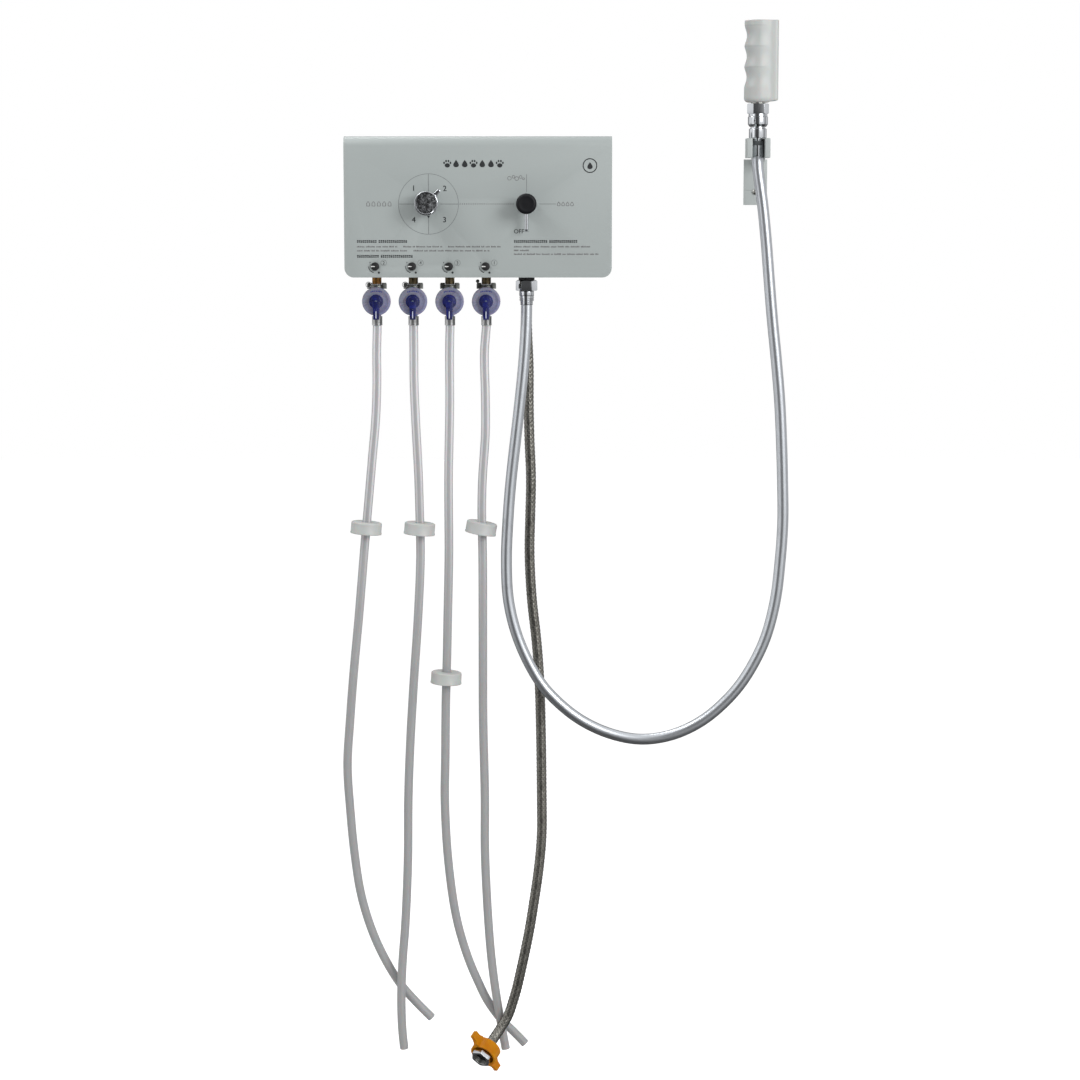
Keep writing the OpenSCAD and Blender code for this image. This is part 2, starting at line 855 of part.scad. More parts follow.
// Four thin lines from the needle valves to the ports under the selector
module inner_product_lines() {
    low_z = needle_top_z + nipple_len;
    high_z = selector_z - selector_body_d / 2 - port_len;
    color("#c9ccd2")
        for (i = lines) {
            port_x = selector_x + (i - 1.5) * port_step;
            turn_z = high_z - ((i == 0 || i == 3) ? 4 : 11);
            pipe_run(
                [
                    [line_x(i), line_y, low_z], [line_x(i), line_y, turn_z],
                    [port_x, line_y, turn_z], [port_x, line_y, high_z]
                ],
                port_d, 0.6
            );
        }
}

// Feed pipe: up from the supply hose, forward into the tap, and over the top to the injector
module feed_pipe() {
    color("#b87333") {
        pipe_run(
            [
                [tap_x, feed_y, nut_top_z], [tap_x, feed_y, feed_top_z],
                [feed_left_x, feed_y, feed_top_z], [feed_left_x, feed_y, tap_z],
                [feed_left_x, injector_y, tap_z], [feed_left_x + 10, injector_y, tap_z]
            ],
            pipe_d, elbow_extra
        );
        translate([tap_x, 0, tap_z])
            bar_y(pipe_d - 1, body_back_y, feed_y);
    }
}

module outlet_pipe() {
    color("#b87333")
        translate([tap_x, outlet_y, 0])
            bar_z(14, panel_bottom + 3, tap_z - tap_body_d / 2 - 5);
}

// ---- product lines ----

// Angle rail on the chassis that carries the needle valves
module valve_rail() {
    left = line_x(0) - rail_margin;
    right = line_x(3) + rail_margin;
    color("#b9bec0")
        difference() {
            union() {
                translate([left, rail_front_y, rail_z - rail_t])
                    cube([right - left, -chassis_t - rail_front_y, rail_t]);
                translate([left, -chassis_t - rail_t, rail_z - rail_leg])
                    cube([right - left, rail_t, rail_leg]);
                translate([left, rail_front_y, rail_z - 6])
                    cube([right - left, rail_t, 6]);
            }
            for (i = lines)
                translate([line_x(i), line_y, 0])
                    bar_z(valve_neck_d + 0.6, rail_z - rail_t - cut, rail_z + cut);
        }
}

module rail_nuts() {
    color("#b08d4a")
        for (i = lines)
            translate([line_x(i), line_y, 0])
                difference() {
                    hex_z(rail_nut_af, rail_z, needle_top_z - 0.6, 0.6);
                    bar_z(valve_neck_d + 2 * run_gap, rail_z - cut, rail_z + 10);
                }
}

module needle_valves() {
    color("#a87f3c")
        for (i = lines)
            translate([line_x(i), line_y, 0])
                difference() {
                    union() {
                        bar_z(port_d, rail_z, needle_top_z + nipple_len);
                        bar_z(valve_neck_d, rail_z - rail_t - cut, needle_top_z);
                        hex_z(needle_flange_af, rail_z - rail_t - needle_flange_h, rail_z - rail_t);
                        bar_z(needle_body_d, needle_shoulder_z, rail_z - rail_t - needle_flange_h);
                        bar_z(stub_d, stub_end_z, needle_shoulder_z + cut);
                        bar_z(barb_d, stub_end_z - barb_half, stub_end_z + cut);
                        translate([0, 0, screw_z])
                            bar_y(boss_d, boss_front_y - line_y, 0);
                    }
                    translate([0, 0, screw_z])
                        bar_y(
                            screw_stem_d + 2 * run_gap,
                            boss_front_y - line_y - cut, screw_root_y - line_y
                        );
                }
}

// Slotted adjusting screw; the slot runs from the centre to the left
module dilution_screw(number) {
    head_y = -panel_depth - screw_gap - screw_head_t;
    color("#1b1c1e")
        translate([line_x(place_of(number)), 0, screw_z])
            difference() {
                union() {
                    bar_y(screw_head_d, head_y, head_y + screw_head_t);
                    bar_y(screw_stem_d, head_y + cut, screw_root_y - 1);
                }
                translate([-screw_head_d, head_y - cut, -0.8])
                    cube([screw_head_d, cut + 0.8, 1.6]);
            }
}

module link_tubes() {
    color("#c9ccd2")
        for (i = lines)
            translate([line_x(i), line_y, 0])
                ring_z(link_d, barb_d + 2 * run_gap, link_end_z, stub_end_z);
}

// Two-ear clamps round the link tubes
module tube_clamps() {
    top = stub_end_z - 1.5;
    ear_x = link_d / 2 + 1;
    ear_lift = 2.8;
    color("#8f9496")
        for (i = lines)
            translate([line_x(i), line_y, 0])
                difference() {
                    union() {
                        bar_z(link_d + 3, top - clamp_w, top);
                        for (side = [-1, 1])
                            translate([
                                min(side * ear_x, side * clamp_span / 2), -1.6, top - clamp_w + ear_lift
                            ])
                                cube([clamp_span / 2 - ear_x, 3.2, clamp_w]);
                    }
                    bar_z(link_d + 2 * run_gap, top - clamp_w - cut, top + cut);
                }
}

// ---- shut-off valves ----

module shutoff_valve(number) {
    rib_len = disc_d / 2 - valve_neck_r - 0.6;
    color("#a6a4c6", 0.85)
        translate([line_x(place_of(number)), line_y, valve_z])
            difference() {
                union() {
                    bar_z(barrel_od, spout_z - valve_z, link_end_z - valve_z);
                    bar_z(barb_d, 0, link_end_z + barb_half - valve_z);
                    bar_z(spout_d, collar_top_z - valve_z, 0);
                    bar_z(tail_d, tube_top_z + 2 - valve_z, 0);
                    translate([0, -line_y, 0]) {
                        bar_y(2 * valve_neck_r, disc_back_y - 1, line_y + 4);
                        translate([0, disc_back_y, 0])
                            rotate([90, 0, 0])
                                disc_face();
                        for (a = [-150 : 30 : -30])
                            rotate([0, -a, 0])
                                translate([valve_neck_r - 0.5, disc_back_y - cut, -0.5])
                                    cube([rib_len, cut + 1.5, 1]);
                    }
                }
                translate([0, -line_y, 0])
                    bar_y(lever_stem_d + 2 * run_gap, disc_front_y - cut, lever_root_y);
            }
}

// Round face of a valve, with a rounded rim and a shallow step round the hub
module disc_face() {
    r = disc_d / 2;
    edge = 1.5;
    rotate_extrude()
        union() {
            square([r, disc_t - edge]);
            square([r - edge, disc_t - 0.6]);
            translate([r - edge, disc_t - edge])
                intersection() {
                    circle(edge);
                    square(edge);
                }
            translate([r - edge - 2, 0])
                square([2, disc_t]);
            square([hub_d / 2 + 1.5, disc_t]);
        }
}

// Blue lever: round hub, tapered arm with a raised rib, and the stem in the valve
module shutoff_lever(number) {
    hub_back_y = disc_front_y - seat_gap;
    arm_y = hub_back_y - lever_t - 1;
    color("#26329b")
        translate([line_x(place_of(number)), 0, valve_z]) {
            bar_y(lever_stem_d, hub_back_y - 1, lever_root_y - 0.5);
            bar_y(hub_d, hub_back_y - hub_t, hub_back_y);
            bar_y(hub_d - 5, hub_back_y - hub_t - 1.5, hub_back_y - hub_t + cut);
            translate([0, hub_back_y - 1, 0])
                rotate([90, 0, 0])
                    linear_extrude(lever_t)
                        polygon([
                            [-lever_w / 2 - 0.6, 0], [-lever_w / 2 + 0.4, -lever_reach],
                            [lever_w / 2 - 0.4, -lever_reach], [lever_w / 2 + 0.6, 0]
                        ]);
            translate([-0.8, arm_y - 0.6, -lever_reach + 1])
                cube([1.6, 1.6, lever_reach - hub_d / 2 - 1]);
        }
}

// Ribbed collars that hold the product tubes on the valve tails
module tube_collars() {
    color("#b7babd")
        for (i = lines)
            translate([line_x(i), line_y, 0])
                difference() {
                    union() {
                        bar_z(collar_d - 1.8, tube_top_z, collar_top_z);
                        bar_z(collar_d, tube_top_z, tube_top_z + 2.6);
                        bar_z(collar_d, collar_top_z - 3.4, collar_top_z);
                        for (a = [0 : 30 : 330])
                            rotate([0, 0, a])
                                translate([collar_d / 2 - 1.2, -0.6, tube_top_z + 1])
                                    cube([1.1, 1.2, collar_len - 2]);
                    }
                    bar_z(tail_d + 2 * run_gap, tube_top_z - cut, collar_top_z + cut);
                }
}

// ---- product tubes and bottle caps ----

module product_tube(number) {
    i = place_of(number);
    color("#9fa3a6")
        swept_tube(concat([[line_x(i), line_y, tube_top_z]], line_routes[i]), tube_d);
}

// A bottle cap that the tube passes through, open at the bottom
module bottle_cap(number) {
    seat = cap_seats[place_of(number)];
    r = cap_d / 2;
    chamfer = 2.2;
    color("#f1f2f3")
        translate([seat[0], line_y, seat[1]])
            rotate([0, seat[2], 0])
                translate([0, 0, -cap_h / 2])
                    rotate_extrude()
                        polygon([
                            [r, 0], [r, 2], [r - 0.5, 2.5], [r - 0.5, cap_h - chamfer],
                            [r - 0.5 - chamfer, cap_h], [cap_hole_d / 2, cap_h],
                            [cap_hole_d / 2, cap_h - cap_wall], [r - cap_wall - chamfer, cap_h - cap_wall],
                            [r - cap_wall - 0.5, cap_h - chamfer - 0.5], [r - cap_wall - 0.5, 0]
                        ]);
}

// ---- supply hose ----

module supply_coupling() {
    nut_bottom = nut_top_z - supply_nut_h;
    color("silver")
        translate([tap_x, feed_y, 0]) {
            hex_z(supply_nut_af, nut_bottom, nut_top_z);
            bar_z(supply_ferrule_d, nut_bottom - supply_ferrule_len + 4, nut_bottom + cut);
            bar_z(supply_ferrule_d - 3, supply_top_z, nut_bottom);
        }
}

// Places a piece of the winged nut: its own Z runs back up the hose from the middle of the collar
module at_wing() {
    translate(wing_centre)
        rotate(wing_lean)
            children();
}

function lean_point(z) =
    wing_centre + z * [
        cos(wing_lean[0]) * sin(wing_lean[1]), -sin(wing_lean[0]), cos(wing_lean[0]) * cos(wing_lean[1])
    ];

module supply_hose() {
    color("#8b8f93")
        swept_tube(
            concat([[tap_x, feed_y, supply_top_z]], supply_route, [lean_point(supply_tail_len)]),
            supply_hose_d,
            finish = wing_centre - lean_point(1)
        );
}

// Crimped tail of the supply hose: ferrule, neck through the nut and the flange that holds the nut
module supply_tail() {
    color("silver")
        at_wing() {
            bar_z(supply_hose_d + 2.4, wing_ring_len / 2 + 0.5, supply_tail_len);
            bar_z(supply_neck_d, web_z - 1, wing_ring_len / 2 + cut);
            bar_z(supply_flange_d, web_z - 2.2, web_z - 0.2);
        }
}

module supply_washer() {
    color("#26272a")
        at_wing()
            ring_z(supply_flange_d - 0.4, 10, mouth_z + supply_thread_len, web_z - 2.2);
}

module supply_nut() {
    color("silver")
        at_wing()
            difference() {
                hex_z(nut_af, mouth_z, mouth_z + supply_nut_len);
                bar_z(supply_bore_d, mouth_z - cut, mouth_z + supply_thread_len);
                bar_z(supply_bore_d + 0.6, mouth_z + supply_thread_len, web_z);
                bar_z(supply_neck_d + 2 * run_gap, web_z - cut, mouth_z + supply_nut_len + cut);
            }
}

// Amber collar with two wings, pressed over the hexagon of the supply nut
module wing_collar() {
    half = wing_ring_len / 2;
    pocket_top = mouth_z + supply_nut_len + run_gap;
    color("#d9930f")
        at_wing()
            difference() {
                union() {
                    bar_z(wing_ring_d, -half, half);
                    for (side = [0, 180])
                        rotate([0, 0, wing_turn + side])
                            wing(half);
                }
                translate([0, 0, -half - cut])
                    cylinder(h = pocket_top + half + cut, r = (nut_af / 2 + run_gap) / cos(30), $fn = 6);
                bar_z(wing_recess_d, -half - cut, -half + wing_recess);
                bar_z(supply_hose_d + 3, -half, half + cut);
            }
}

// One wing: a fin along the nut that narrows from the collar in two hollow curves
module wing(half) {
    hollow_r = 12;
    low_r = wing_reach - 4;
    rotate([90, 0, 0])
        translate([0, 0, -wing_t / 2])
            linear_extrude(wing_t)
                difference() {
                    translate([wing_ring_d / 2 - 2, -half])
                        square([wing_reach - wing_ring_d / 2 + 2, 2 * half]);
                    for (side = [-1, 1]) {
                        translate([low_r, side * (wing_w / 2 + hollow_r)])
                            circle(hollow_r);
                        translate([low_r, side * (wing_w / 2 + hollow_r) - hollow_r])
                            square([wing_reach, 2 * hollow_r]);
                    }
                }
}

// ---- spray hose ----

module outlet_collar() {
    color("#1f2022")
        translate([tap_x, outlet_y, 0]) {
            bar_z(outlet_collar_d, nut_top_z + seat_gap, panel_bottom + 3);
            bar_z(spigot_d, nut_top_z - 7.5, nut_top_z + cut);
        }
}

module hose_nut() {
    color("silver")
        translate([tap_x, outlet_y, 0])
            difference() {
                hex_z(nut_af, nut_bottom_z, nut_top_z, 1.4);
                bar_z(spigot_d + 2 * run_gap, nut_bottom_z + 3, nut_top_z + cut);
                bar_z(15.2, nut_bottom_z - cut, nut_top_z);
            }
}

module hose_ferrule() {
    step_top = nut_bottom_z - 0.2;
    color("silver")
        translate([tap_x, outlet_y, 0]) {
            bar_z(17.4, nut_bottom_z + 3.2, nut_top_z - 7.7);
            bar_z(15, step_top - cut, nut_bottom_z + 4);
            bar_z(ferrule_step_d, step_top - ferrule_step_h, step_top);
            bar_z(ferrule_d, spray_top_z, step_top - ferrule_step_h + cut);
        }
}

module spray_hose() {
    color("#c3c6ca")
        swept_tube(
            concat([[tap_x, outlet_y, spray_top_z]], spray_route, [[holder_x, holder_y, hose_end_z]]),
            spray_hose_d,
            finish = [0, 0, 1]
        );
}

// ---- handheld sprayer ----

module at_sprayer() {
    translate([holder_x, holder_y, 0])
        children();
}

// Chrome end of the hose, with a black ring that rests between the fork's cheeks
module hose_end() {
    ring_top = barrel_bottom_z - neck_ring_drop;
    color("#d0d3d6")
        at_sprayer() {
            bar_z(hose_end_d, hose_end_z, ring_top - neck_ring_h);
            bar_z(neck_ring_d, ring_top - neck_ring_h, ring_top);
            bar_z(hose_neck_d, ring_top - cut, barrel_bottom_z);
        }
}

module coupling_barrel() {
    color("#d0d3d6")
        at_sprayer()
            rotate_extrude()
                polygon([
                    [0, barrel_bottom_z], [barrel_d / 2 - 1, barrel_bottom_z],
                    [barrel_d / 2, barrel_bottom_z + 1], [barrel_d / 2, barrel_top_z - 1],
                    [barrel_d / 2 - 2, barrel_top_z], [barrel_d / 2 - 2, swivel_bottom_z - seat_gap],
                    [swivel_pin_d / 2, swivel_bottom_z - seat_gap],
                    [swivel_pin_d / 2, swivel_bottom_z + swivel_pin_len], [0, swivel_bottom_z + swivel_pin_len]
                ]);
}

module swivel_ring() {
    r = swivel_d / 2;
    color("#d0d3d6")
        at_sprayer()
            difference() {
                rotate_extrude()
                    polygon([
                        [0, swivel_bottom_z], [r - 2, swivel_bottom_z], [r, swivel_bottom_z + 3],
                        [r, swivel_top_z - 4], [r - 0.8, swivel_top_z - 3.4],
                        [r - 0.8, swivel_top_z], [0, swivel_top_z]
                    ]);
                bar_z(swivel_pin_d + 2 * run_gap, swivel_bottom_z - cut, swivel_bottom_z + swivel_pin_len + 1);
                translate([0, 0, swivel_bottom_z + 7])
                    rotate([0, 0, -24])
                        bar_y(2, -swivel_d, -r + 3);
            }
}

module sprayer_nut() {
    color("#d0d3d6")
        at_sprayer()
            difference() {
                hex_z(nut_af, swivel_top_z, sprayer_nut_top_z, 1.4);
                bar_z(thread_d + 2 * run_gap, swivel_top_z + 1.5, sprayer_nut_top_z + cut);
            }
}

// Outline of the grip round its own axis, with three finger scallops
module grip_profile() {
    scallop_r = (scallop_h * scallop_h / 4 + scallop_depth * scallop_depth) / (2 * scallop_depth);
    first_z = grip_bottom_z + 31.5;
    difference() {
        union() {
            translate([0, grip_bottom_z + dome_r])
                square([grip_r, grip_h - dome_r]);
            translate([0, grip_bottom_z])
                square([grip_r - dome_r, 2 * dome_r]);
            translate([grip_r - dome_r, grip_bottom_z + dome_r])
                circle(dome_r);
        }
        for (k = [0 : 2])
            translate([grip_r - scallop_depth + scallop_r, first_z + k * scallop_h])
                circle(scallop_r, $fn = 120);
    }
}

module fin_section() {
    translate([0, -fin_t / 2])
        square([fin_reach - fin_edge_r, fin_t]);
    translate([0, -fin_t / 2 + fin_edge_r])
        square([fin_reach, fin_t - 2 * fin_edge_r]);
    for (side = [-1, 1])
        translate([fin_reach - fin_edge_r, side * (fin_t / 2 - fin_edge_r)])
            circle(fin_edge_r);
}

module sprayer_grip() {
    color("#d9dbdb")
        at_sprayer()
            difference() {
                union() {
                    rotate_extrude()
                        grip_profile();
                    translate([0, 0, grip_bottom_z + fin_lift])
                        linear_extrude(grip_h - fin_lift)
                            fin_section();
                }
                bar_z(water_tube_d + 2 * run_gap, grip_bottom_z - cut, grip_top_z);
                bar_z(chamber_d, spray_plate_z - chamber_h, grip_top_z);
                bar_z(plate_d + 2 * run_gap, spray_plate_z, grip_top_z + cut);
            }
}

// Water tube through the grip, with its threaded lower end in the nut
module water_tube() {
    color("#b9bdc0")
        at_sprayer() {
            bar_z(thread_d, swivel_top_z + 1.6, grip_bottom_z);
            bar_z(water_tube_d, grip_bottom_z - cut, spray_plate_z - chamber_h);
        }
}

// Spray plate: a middle hole and two rings of holes, pressed in over the chamber
module spray_plate() {
    color("#8d9194")
        at_sprayer()
            difference() {
                bar_z(plate_d, spray_plate_z, spray_plate_z + spray_plate_t);
                for (ring = [0 : 2], k = [0 : max(1, 6 * ring) - 1])
                    rotate([0, 0, 360 * k / max(1, 6 * ring)])
                        translate([ring * jet_step, 0, 0])
                            bar_z(jet_d, spray_plate_z - cut, grip_top_z + cut);
            }
}

// ---- wall holder ----

// Wall plate, the arm that stands out from its upper end, and the fork on the arm
module holder() {
    head_y = holder_y + slot_w / 2 + 8;
    color("#c3ccc9")
        difference() {
            union() {
                translate([holder_x - fork_w / 2, -fork_reach, fork_bottom_z])
                    cube([fork_w, fork_reach + head_y, fork_h]);
                translate([
                    holder_x + holder_arm_shift - holder_arm_w / 2, head_y - cut, fork_bottom_z - holder_arm_drop
                ])
                    cube([holder_arm_w, cut - head_y, fork_h + holder_arm_drop]);
                translate([
                    holder_plate_x - holder_plate_w / 2, -holder_plate_t, holder_plate_top_z - holder_plate_h
                ])
                    cube([holder_plate_w, holder_plate_t, holder_plate_h]);
            }
            translate([holder_x, holder_y, fork_bottom_z - cut])
                cylinder(h = fork_h + 2 * cut, d = slot_w);
            translate([holder_x - slot_w / 2, -fork_reach - cut, fork_bottom_z - cut])
                cube([slot_w, fork_reach + holder_y + cut, fork_h + 2 * cut]);
            for (k = [0, 1])
                translate([holder_plate_x, 0, holder_hole_top_z - k * holder_hole_dz])
                    bar_y(holder_hole_d, -holder_plate_t - cut, cut);
            translate([
                holder_plate_x - holder_plate_w, -holder_plate_t - cut,
                holder_plate_top_z - holder_plate_h - cut
            ])
                cube([2 * holder_plate_w, cut + foot_step, foot_h + cut]);
        }
}

wall_chassis();
front_cover();
cover_fixings();
valve_rail();
rail_nuts();
selector_body();
selector_spindle();
selector_knob();
tap_body();
panel_nuts();
tap_spindle();
tap_knob();
tap_rod();
injector();
suction_line();
inner_product_lines();
feed_pipe();
outlet_pipe();
needle_valves();
dilution_screw(1);  // dilution_screw_1
dilution_screw(2);  // dilution_screw_2
dilution_screw(3);  // dilution_screw_3
dilution_screw(4);  // dilution_screw_4
link_tubes();
tube_clamps();
shutoff_valve(1);  // shutoff_valve_1
shutoff_valve(2);  // shutoff_valve_2
shutoff_valve(3);  // shutoff_valve_3
shutoff_valve(4);  // shutoff_valve_4
shutoff_lever(1);  // shutoff_lever_1
shutoff_lever(2);  // shutoff_lever_2
shutoff_lever(3);  // shutoff_lever_3
shutoff_lever(4);  // shutoff_lever_4
tube_collars();
product_tube(1);  // product_tube_1
product_tube(2);  // product_tube_2
product_tube(3);  // product_tube_3
product_tube(4);  // product_tube_4
bottle_cap(1);  // bottle_cap_1
bottle_cap(2);  // bottle_cap_2
bottle_cap(3);  // bottle_cap_3
bottle_cap(4);  // bottle_cap_4
supply_coupling();
supply_hose();
supply_tail();
supply_nut();
supply_washer();
wing_collar();
outlet_collar();
hose_nut();
hose_ferrule();
spray_hose();
hose_end();
coupling_barrel();
swivel_ring();
sprayer_nut();
sprayer_grip();
water_tube();
spray_plate();
holder();
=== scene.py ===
"""Dresses the wall-hung pet bath unit: panel, controls, valves, tubes, hoses, winged nut, sprayer and holder.

Every length in the code is in millimetres and is turned into metres where a mesh is made. X runs along the
wall, Y runs into the wall and Z is up; the origin is the middle of the panel's wall screws.
"""

import math

import bmesh
import bpy
import numpy as np
from bpy.props import FloatProperty, FloatVectorProperty, IntProperty, PointerProperty
from bpy.types import Operator, Panel, PropertyGroup
from mathutils import Euler, Matrix, Vector


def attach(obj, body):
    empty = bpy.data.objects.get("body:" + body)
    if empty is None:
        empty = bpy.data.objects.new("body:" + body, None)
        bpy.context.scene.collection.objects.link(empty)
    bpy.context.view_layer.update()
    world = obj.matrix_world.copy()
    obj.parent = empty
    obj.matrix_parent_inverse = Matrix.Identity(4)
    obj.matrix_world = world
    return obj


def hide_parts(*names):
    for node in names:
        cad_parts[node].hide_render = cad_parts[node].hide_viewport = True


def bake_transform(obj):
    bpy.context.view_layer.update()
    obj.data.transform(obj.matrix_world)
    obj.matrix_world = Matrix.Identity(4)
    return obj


bl_info = {
    "name": "Pet Bath Unit",
    "version": (1, 0, 0),
    "blender": (4, 5, 0),
    "location": "View3D > Sidebar > Bath Unit",
    "description": "Builds the visible pieces of a wall-hung pet bath unit round its CAD frame",
    "category": "Object",
}

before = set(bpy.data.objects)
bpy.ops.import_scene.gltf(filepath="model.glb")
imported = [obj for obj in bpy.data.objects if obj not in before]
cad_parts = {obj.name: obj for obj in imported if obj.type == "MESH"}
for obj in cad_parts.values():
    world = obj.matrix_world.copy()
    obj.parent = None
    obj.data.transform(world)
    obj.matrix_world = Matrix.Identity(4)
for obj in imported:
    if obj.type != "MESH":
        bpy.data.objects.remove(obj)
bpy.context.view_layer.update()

MM = 0.001
TURN = 2 * math.pi
DOWN, UP = (0, 0, -1), (0, 0, 1)

# Where things sit: the cover's face, the four lines (number: x) from left to right, and what is round them
PANEL_Y = -75.0
LINE_Y = -42.0
LINES = {2: -131.0, 4: -84.1, 3: -37.2, 1: 9.7}
SCREW_Z = -75.0
VALVE_Z = -120.0
VALVE_FACE_Y = -57.4
SELECTOR = (-64.5, 4.5)
TAP = (61.5, 4.0)
KNOB_BACK_Y = -81.5
OUTLET = (61.5, -50.0)
SUPPLY = (61.5, -24.0)
SPRAYER = (356.0, -50.0)
# Bottle caps: x, z and lean in degrees
CAP_SEATS = {
    2: (-147.3, -414.0, 5.0), 4: (-77.9, -415.0, 4.5), 3: (-44.2, -612.0, 3.5), 1: (2.3, -414.0, 10.0),
}
WING_CENTRE = Vector((7.0, -84.0, -1105.0))
WING_LEAN = Euler((math.radians(-47), math.radians(41), 0.0))
WING_AXIS = WING_LEAN.to_matrix() @ Vector((0, 0, 1))
TAIL_REACH = 13.0
STUB_PITCH = 1.3
GRIP_RADIUS = 18.0
SCALLOP_Z, SCALLOP_STEP = 150.3, 26.0
# Height of the lowest thin line of painted shade under the grip's scallop crests
CREST_SHADE_Z = 149.5
SUNK = -0.02  # the print's underside, just inside the coat
RUN_STEP = 2.0  # distance between the points of a hose's line
WELD = 2e-7  # points closer than this, in metres, become one
SMOOTHINGS, HALVINGS = 24, 32  # rounds of smoothing along a hose, and of closing in on the grip's outline

# Routes of the free tubes and hoses, from their seats to their ends
TUBE_ROUTES = {
    2: [(-131, -42, -151), (-132, -42, -185), (-132, -42, -225), (-134, -42, -272), (-139, -42, -325),
        (-144, -42, -378), (-151, -42, -452), (-158, -42, -530), (-166, -42, -610), (-171, -42, -670),
        (-175, -41, -730), (-172, -39, -790), (-167, -37, -850), (-158, -35, -911), (-139, -32, -972),
        (-111, -30, -1026), (-89, -30, -1053), (-66, -30, -1077)],
    4: [(-84.1, -42, -151), (-84, -42, -185), (-84, -42, -225), (-82, -42, -280), (-79, -42, -345),
        (-78, -42, -385), (-77, -42, -450), (-81, -42, -536), (-87, -42, -620), (-92, -42, -700),
        (-95, -43, -776), (-96, -44, -857), (-100, -45, -945), (-104, -46, -995), (-106, -46, -1045),
        (-105, -46, -1088), (-102.5, -46, -1114.5)],
    3: [(-37.2, -42, -151), (-38, -42, -185), (-38, -42, -250), (-40, -42, -350), (-40, -42, -450),
        (-42, -42, -536), (-43, -42, -580), (-45, -42, -650), (-46, -41, -720), (-47, -39, -777),
        (-43, -36, -859), (-32, -33, -941), (-16, -30, -998), (-5, -29, -1025), (8, -29, -1053),
        (27, -29, -1080), (42, -29, -1095), (59, -29, -1113)],
    1: [(9.7, -42, -151), (7, -42, -185), (8, -42, -240), (8, -42, -290), (4, -42, -350), (3, -42, -390),
        (4, -42, -450), (4, -42, -560), (4, -42, -668), (6, -42, -770), (6, -42, -850), (10, -42, -938),
        (14, -42, -990), (19, -42, -1032), (26, -42, -1077), (33, -42, -1116)],
}
SUPPLY_ROUTE = [
    (61.5, -24, -124.5), (62, -24, -160), (64, -24, -205), (64, -24, -250), (65, -24, -300), (67, -24, -350),
    (66, -24, -400), (65, -24, -450), (68, -24, -510), (74, -24, -565), (78, -25, -620), (80, -27, -690),
    (81, -32, -770), (81, -37, -825), (77, -41, -870), (71, -44, -912), (64, -47, -955), (54, -50, -1003),
    (47, -51, -1034), (42, -52, -1050), (37, -54, -1066), (30, -57, -1077), (22, -62, -1088),
]
SPRAY_ROUTE = [
    (61.5, -50, -124.7), (61, -50, -150), (58, -50, -198), (53, -50, -248), (47, -50, -300), (41, -50, -353),
    (37, -50, -405), (35, -50, -458), (38, -50, -511), (52, -50, -564), (79, -50, -617), (103, -50, -644),
    (132, -50, -667), (170, -50, -685), (211, -50, -693), (252, -50, -687), (290, -50, -669), (321, -50, -643),
    (345, -50, -614), (371, -50, -564), (385, -50, -511), (391, -50, -458), (394, -50, -405), (393, -50, -353),
    (391, -50, -300), (388, -50, -248), (383, -50, -195), (377, -50, -140), (372, -50, -85), (368, -50, -40),
    (363, -50, 5), (358, -50, 38), (356, -50, 54), (356, -50, 64),
]


def paint(red, green, blue):
    """A colour as it is read off a swatch, 0 to 255, turned into scene-linear values."""
    linear = []
    for value in (red, green, blue):
        share = value / 255
        linear.append(share / 12.92 if share <= 0.04045 else ((share + 0.055) / 1.055) ** 2.4)
    return tuple(linear)


# ---- what a user may change ----


def colour_of(name, description, rgb):
    return FloatVectorProperty(
        name=name, description=description, subtype="COLOR", size=3, min=0.0, max=1.0, default=paint(*rgb)
    )


def length_of(name, description, millimetres):
    return FloatProperty(name=name, description=description, unit="LENGTH", default=millimetres * MM, min=0.0)


def power_of(name, description, watts):
    return FloatProperty(name=name, description=description, unit="POWER", default=watts, min=0.0)


class PanelLooks(PropertyGroup):
    coat: colour_of("Coat", "Colour of the powder coat on the cover", (166, 173, 172))
    ink: colour_of("Ink", "Colour of the dark print on the cover", (32, 35, 37))
    fine_ink: colour_of("Fine ink", "Colour of the thin printed lines", (112, 116, 116))
    text_ink: colour_of("Text ink", "Colour of the small printed blocks", (88, 84, 86))
    edge: length_of("Edge", "Radius that softens the sheet's cut edges", 0.45)
    print_height: length_of("Print height", "How far the print stands off the coat", 0.06)


class ControlLooks(PropertyGroup):
    chrome: colour_of("Chrome", "Tint of the chromed metal", (203, 206, 210))
    knob: colour_of("Tap knob", "Colour of the tap's knob", (16, 17, 21))
    lever: colour_of("Levers", "Colour of the shut-off levers", (19, 26, 94))
    disc: colour_of("Valve discs", "Colour of the shut-off valves' faces", (138, 138, 166))
    edge: length_of("Edge", "Radius that softens machined edges", 0.5)


class HoseLooks(PropertyGroup):
    tube: colour_of("Product tubes", "Colour of the product tubes", (176, 177, 178))
    silver: colour_of("Spray hose", "Colour of the silver spray hose", (200, 204, 209))
    steel: colour_of("Braid", "Colour of the braid's wires", (150, 148, 141))
    cap: colour_of("Bottle caps", "Colour of the bottle caps", (193, 196, 194))
    strands: IntProperty(
        name="Strands", description="Braid strands that wind each way", default=8, min=4, max=16
    )
    strand_width: length_of("Strand width", "Width of one strand of the braid", 2.6)
    pitch: length_of("Braid pitch", "Length of hose in one turn of a strand", 44.0)
    wall: length_of("Tube wall", "Wall of a product tube, seen at its open end", 1.9)


class SprayerLooks(PropertyGroup):
    grip: colour_of("Grip", "Colour of the sprayer's grip", (190, 193, 191))
    holder: colour_of("Holder", "Colour of the wall holder", (178, 184, 183))
    wing: colour_of("Winged collar", "Colour of the winged collar", (206, 134, 4))
    dip: length_of("Scallop depth", "Depth of the grip's finger scallops", 3.0)
    fillet: length_of("Grip fillet", "Fillet between the grip's round part and its flat back", 3.5)


